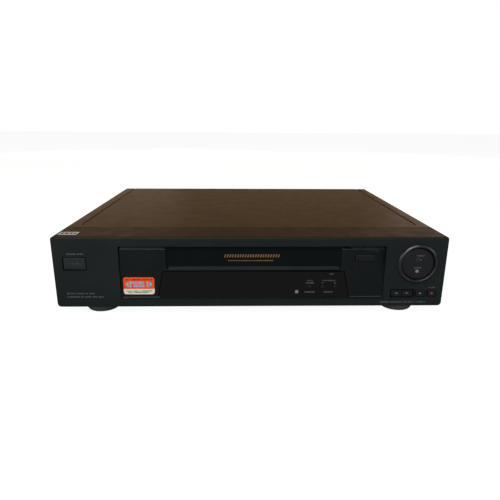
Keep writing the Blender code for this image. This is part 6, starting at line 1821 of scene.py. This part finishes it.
@dataclass
class Deck:
    """The tape deck: its chassis, drum, reels, gears, arms and heads."""

    drum_origin: Spot = (-0.00195, -0.00149, 0.031202)
    drum_tilt: float = math.radians(-5)
    drum_radius: float = 0.031
    lower_height: float = 0.0135
    split: float = 0.0139
    upper_top: float = 0.0264
    hub_radius: float = 0.012
    hub_top: float = 0.0304
    bore: float = 0.0018
    deck_top: float = 0.0195

    def build(self) -> None:
        """Makes every moving and fixed part of the deck."""
        mould("deck_chassis", "chassis_sheet", Palette.ZINC, 0.0002)
        for node in ("tension_arm", "pinch_arm", "idler_arm"):
            mould(node, f"{node}_sheet", Palette.ZINC, 0.00015)
        for node in ("erase_head", "audio_control_head", "loading_motor"):
            mould(node, f"{node}_case", Palette.ALLOY, 0.0003)
        dress("capstan_motor", Palette.IRON)
        dress("capstan_flywheel", Palette.STEEL)
        self.drum()
        self.reels()
        self.gears()
        self.pinch_roller()
        self.guides()

    def drum(self) -> None:
        """The leaning drum: a still lower half with a step for the tape, and a turning upper half.

        The upper half's wall has three fine grooves, and its top a boss and three screws.
        """
        seat = Seat(Facing.TOP, self.drum_origin, tilt=self.drum_tilt)
        radius = self.drum_radius
        step = radius - 0.0008
        lower = eased([
            (0.0034, 0.0, 0), (radius - 0.002, 0.0, 0.0004), (radius, 0.0015, 0.0003),
            (radius, 0.0050, 0.0002), (step, 0.0054, 0.0002), (step, self.lower_height, 0.0002),
            (0.0034, self.lower_height, 0),
        ])
        make(
            "drum_base", turned(lower, 96, Ends.LOOPED).at(seat), Palette.ALLOY,
            stands_for=["lower_drum"],
        )
        wall = [(radius, self.split + 0.0002)]
        for level in (0.0160, 0.0172, 0.0184):
            wall += [(radius, level - 0.0002), (radius - 0.00015, level), (radius, level + 0.0002)]
        top, hub, hub_top = self.upper_top, self.hub_radius, self.hub_top
        upper = [(0.0, 0.0003), (0.003, 0.0003), (0.003, self.split), (radius - 0.0002, self.split)] + wall
        upper += [(radius, top - 0.0005), (radius - 0.0005, top), (0.0250, top), (0.0240, top - 0.0008)]
        upper += [(0.0150, top - 0.0008), (0.0142, top), (hub, top), (hub, hub_top - 0.0005)]
        upper += [(hub - 0.0005, hub_top), (0.004, hub_top), (0.0036, hub_top - 0.001), (0.0, hub_top - 0.001)]
        make(
            "drum_rotor", turned(upper, 96).at(seat), Palette.ALLOY, "head_drum",
            ["upper_drum"],
        )
        angles = np.radians([30, 150, 270])
        heads = [
            screw_head(0.0019, 0.0009).moved(0.0085 * math.cos(a), 0.0085 * math.sin(a), self.hub_top)
            for a in angles
        ]
        make("drum_screws", together(heads).at(seat), Palette.DARK_SCREW, "head_drum")

    def reels(self) -> None:
        """The two reel tables, each a grooved disc with a splined spindle."""
        for node, body in (("supply_reel_table", "supply_reel"), ("take_up_reel_table", "take_up_reel")):
            low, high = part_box(node)
            height, disc = high.z - low.z, 0.0058
            sunk = disc - 0.0008
            table = eased([
                (self.bore, 0.0, 0), (0.0188, 0.0, 0.0003), (0.0190, 0.0012, 0.0002),
                (0.0184, 0.0024, 0.0002), (0.0190, 0.0036, 0.0002), (0.0190, disc, 0.0005),
                (0.0150, disc, 0.0002), (0.0146, sunk, 0.0002), (0.0100, sunk, 0.0002),
                (0.0096, disc, 0.0002), (self.bore, disc, 0),
            ], steps=3)
            spindle = toothed(0.0055, 3, 0.0016, disc - 0.0002, height - 0.0020, self.bore)
            nose = eased([
                (self.bore, height - 0.0022, 0), (0.0038, height - 0.0022, 0),
                (0.0034, height - 0.0006, 0.0006), (0.0024, height, 0.0004), (self.bore, height, 0),
            ])
            shape = together([turned(table, 96, Ends.LOOPED), spindle, turned(nose, 40, Ends.LOOPED)])
            make(f"{node}_hub", shape.at(axis_seat(node)), Palette.DARK_GEAR, body, [node])

    def gears(self) -> None:
        """The cam gear, the pinion, the idler and the carriage gear."""
        rail = [(0.0146, 0.0038, 0), (0.0146, 0.0040, 0.0001), (0.0162, 0.0040, 0.0001), (0.0162, 0.0038, 0)]
        track = turned(eased(rail), 64, Ends.LOOPED)
        plan = [
            ("cam_gear", "cam", 0.020, 56, 0.0011), ("motor_pinion", "pinion", 0.005, 14, 0.0009),
            ("idler_gear", "idler_wheel", 0.014, 44, 0.0010),
        ]
        for node, body, radius, teeth, tooth in plan:
            low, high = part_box(node)
            height = high.z - low.z
            bore = 0.00115 if node == "motor_pinion" else self.bore
            shape = toothed(radius, teeth, tooth, 0.0, height, bore)
            if node == "cam_gear":
                shape = together([shape, track])
            make(f"{node}_teeth", shape.at(axis_seat(node)), Palette.PALE_GEAR, body, [node])
        low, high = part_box("carriage_gear")
        seat = Seat(Facing.RIGHT, (low.x, (low.y + high.y) / 2, (low.z + high.z) / 2))
        radius = (high.z - low.z) / 2
        make(
            "carriage_gear_teeth", toothed(radius, 16, 0.0009, 0.0, high.x - low.x, self.bore).at(seat),
            Palette.PALE_GEAR, "carriage_drive_gear", ["carriage_gear"],
        )

    def pinch_roller(self) -> None:
        """The rubber roller with its pale hub."""
        low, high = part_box("pinch_roller")
        height, radius = high.z - low.z, (high.x - low.x) / 2
        top = height - 0.0003
        tyre = eased([(0.0030, 0.0003, 0), (radius, 0.0003, 0.0005), (radius, top, 0.0005), (0.0030, top, 0)])
        seat = axis_seat("pinch_roller")
        make(
            "pinch_tyre", turned(tyre, 48, Ends.LOOPED).at(seat), Palette.RUBBER,
            "pinch_wheel", ["pinch_roller"],
        )
        hub = eased([
            (self.bore, 0.0, 0), (0.0031, 0.0, 0.0002), (0.0031, height, 0.0002), (self.bore, height, 0),
        ])
        make("pinch_hub", turned(hub, 32, Ends.LOOPED).at(seat), Palette.PALE_GEAR, "pinch_wheel")

    def guides(self) -> None:
        """The guide bases, and a flanged roller round each post."""
        for node, body in (("supply_guide_base", "supply_guide"), ("take_up_guide_base", "take_up_guide")):
            mould(node, f"{node}_block", Palette.DARK_GEAR, 0.0003)
            low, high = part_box(node)
            foot = FOOT_HEIGHT + self.deck_top
            top = high.z - foot
            roller = eased([
                (0.0027, top - 0.0165, 0), (0.0036, top - 0.0165, 0.0002), (0.0036, top - 0.0155, 0.0002),
                (0.0029, top - 0.0152, 0.0001), (0.0029, top - 0.0018, 0.0001),
                (0.0036, top - 0.0015, 0.0002), (0.0036, top - 0.0005, 0.0002), (0.0027, top - 0.0005, 0),
            ], steps=3)
            seat = Seat(Facing.TOP, ((low.x + high.x) / 2, (low.y + high.y) / 2, foot))
            sleeve = turned(roller, 36, Ends.LOOPED)
            make(f"{node}_roller", sleeve.at(seat), Palette.STEEL, body)


@dataclass
class Loader:
    """The cassette lift: two brackets, the carriage and the holder."""

    def build(self) -> None:
        """Dresses each with soft pressed edges."""
        for side in ("left", "right"):
            mould(f"loader_bracket_{side}", f"bracket_{side}_sheet", Palette.ZINC, 0.00015)
        mould("loading_carriage", "carriage_moulding", Palette.DARK_GEAR, 0.00025)
        mould("cassette_holder", "holder_sheet", Palette.ZINC, 0.00015)


@dataclass
class Studio:
    """The pale floor, the soft lights and the camera."""

    eye: Spot = (-0.0145, -0.6359, 0.2129)
    heading: float = -1.546
    pitch: float = -16.293
    roll: float = -0.402
    lens: float = 32.263
    shift: float = -0.0038
    ambient: float = 0.12
    floor_half: float = 6.0
    floor_sunk: float = 0.0003
    floor_matte: float = 0.2
    floor_seen: float = 0.93
    floor_bounce: float = 0.07

    def build(self) -> None:
        """Sets everything round the recorder."""
        bpy.context.scene.view_settings.view_transform = "Standard"
        self.floor()
        self.sky()
        self.light("front_softbox", (-0.9, -2.4, 1.1), (1.8, 1.0), 16.5, (0.97, 1.0, 1.0))
        self.light("key_softbox", (-0.2, -1.2, 1.7), (1.5, 0.8), 24.0, (0.96, 1.0, 1.0))
        self.light("left_softbox", (-1.9, -0.5, 0.7), (1.2, 0.9), 6.0, (0.92, 1.0, 0.97))
        self.light("right_softbox", (1.9, -0.5, 0.7), (1.2, 0.9), 6.0, (0.95, 0.96, 1.0))
        self.light("rear_left_glow", (-0.85, 2.4, 0.18), (0.9, 0.26), 3.7, (1.0, 0.76, 0.52))
        self.light("rear_middle_glow", (0.3, 2.3, 0.22), (1.4, 0.30), 2.3, (1.0, 0.74, 0.45))
        self.light("rear_right_glow", (1.4, 1.9, 0.50), (1.0, 0.6), 2.5, (1.0, 0.76, 0.60))
        self.view()

    def floor(self) -> None:
        """A wide floor that looks nearly white, shades the light a little and is clear from below."""
        corners = self.floor_half * np.array([[[-1, -1], [1, -1]], [[-1, 1], [1, 1]]])
        points = np.concatenate([corners, np.full((2, 2, 1), -self.floor_sunk)], axis=-1)
        mesh = mesh_of("studio_floor", sheet(points, np.array([[True]])), False)
        floor = bpy.data.objects.new("studio_floor", mesh)
        bpy.context.scene.collection.objects.link(floor)
        material = bpy.data.materials.new("studio_floor")
        material.use_nodes = True
        graph = Graph(material)
        graph.nodes.remove(graph.nodes["Principled BSDF"])
        matte = graph.add("ShaderNodeBsdfDiffuse")
        matte.inputs["Color"].default_value = (self.floor_matte, self.floor_matte, self.floor_matte, 1)
        glow = graph.add("ShaderNodeEmission")
        glow.inputs["Strength"].default_value = self.floor_seen
        both = graph.add("ShaderNodeAddShader")
        graph.link(matte.outputs[0], both.inputs[0])
        graph.link(glow.outputs[0], both.inputs[1])
        mix = graph.add("ShaderNodeMixShader")
        graph.link(graph.add("ShaderNodeLightPath").outputs["Is Camera Ray"], mix.inputs[0])
        bounce = graph.add("ShaderNodeEmission")
        bounce.inputs["Strength"].default_value = self.floor_bounce
        dull = graph.add("ShaderNodeAddShader")
        graph.link(matte.outputs[0], dull.inputs[0])
        graph.link(bounce.outputs[0], dull.inputs[1])
        graph.link(dull.outputs[0], mix.inputs[1])
        graph.link(both.outputs[0], mix.inputs[2])
        below = graph.add("ShaderNodeMixShader")
        graph.link(graph.add("ShaderNodeNewGeometry").outputs["Backfacing"], below.inputs[0])
        graph.link(mix.outputs[0], below.inputs[1])
        graph.link(graph.add("ShaderNodeBsdfTransparent").outputs[0], below.inputs[2])
        graph.link(below.outputs[0], graph.nodes["Material Output"].inputs["Surface"])
        floor.data.materials.append(material)

    def sky(self) -> None:
        """White behind everything, and a dim light round it that is warmer and dimmer at the back."""
        world = bpy.data.worlds.new("studio_sky")
        bpy.context.scene.world = world
        world.use_nodes = True
        nodes, links = world.node_tree.nodes, world.node_tree.links
        dim = nodes["Background"]
        dim.inputs["Strength"].default_value = self.ambient
        axes = nodes.new("ShaderNodeSeparateXYZ")
        links.new(nodes.new("ShaderNodeTexCoord").outputs["Generated"], axes.inputs["Vector"])
        behind = nodes.new("ShaderNodeMapRange")
        behind.inputs["From Min"].default_value = -0.3
        behind.inputs["From Max"].default_value = 0.5
        links.new(axes.outputs["Y"], behind.inputs["Value"])
        tint = nodes.new("ShaderNodeMix")
        tint.data_type = "RGBA"
        tint.inputs[MIX_FIRST].default_value = (0.95, 1.0, 1.0, 1)
        tint.inputs[MIX_SECOND].default_value = (0.46, 0.32, 0.20, 1)
        links.new(behind.outputs["Result"], tint.inputs[MIX_SHARE])
        links.new(tint.outputs[MIX_RESULT], dim.inputs["Color"])
        white = nodes.new("ShaderNodeBackground")
        white.inputs["Color"].default_value = (1, 1, 1, 1)
        mix = nodes.new("ShaderNodeMixShader")
        links.new(nodes.new("ShaderNodeLightPath").outputs["Is Camera Ray"], mix.inputs[0])
        links.new(dim.outputs[0], mix.inputs[1])
        links.new(white.outputs[0], mix.inputs[2])
        links.new(mix.outputs[0], nodes["World Output"].inputs["Surface"])

    def light(self, name: str, place: Spot, size: tuple[float, float], power: float, colour: Colour) -> None:
        """A soft rectangular light aimed at the recorder.

        Args:
            name: its name.
            place: where it stands.
            size: its width and height.
            power: its power in watts.
            colour: its colour.
        """
        lamp = bpy.data.lights.new(name, "AREA")
        lamp.shape = "RECTANGLE"
        lamp.size, lamp.size_y = size
        lamp.energy = power
        lamp.color = colour
        stand = bpy.data.objects.new(name, lamp)
        bpy.context.scene.collection.objects.link(stand)
        aim = Vector((0.0, 0.0, 0.05)) - Vector(place)
        stand.matrix_world = Matrix.Translation(place) @ aim.to_track_quat("-Z", "Y").to_matrix().to_4x4()
        stand.visible_camera = False

    def view(self) -> None:
        """The camera, from the photograph's height and side."""
        lens = bpy.data.cameras.new("studio_camera")
        lens.lens = self.lens
        lens.sensor_width = 36.0
        lens.shift_y = self.shift
        camera = bpy.data.objects.new("studio_camera", lens)
        bpy.context.scene.collection.objects.link(camera)
        turns = [(self.heading, "Z"), (self.pitch, "X"), (self.roll, "Y"), (90.0, "X")]
        pose = Matrix.Translation(self.eye)
        for angle, axis in turns:
            pose = pose @ Matrix.Rotation(math.radians(angle), 4, axis)
        camera.matrix_world = pose
        bpy.context.scene.camera = camera


def main() -> None:
    """Builds the recorder's parts in order and sets the studio round them."""
    logging.basicConfig(level=logging.INFO, format="%(message)s")
    for part in (
        Cover(), Fascia(), CentrePanel(), Controls(), Rocker(), Feet(), RearSockets(), Underside(),
        Electronics(), Deck(), Loader(), Studio(),
    ):
        LOG.info("building %s", type(part).__name__)
        part.build()


if __name__ == "__main__":
    main()
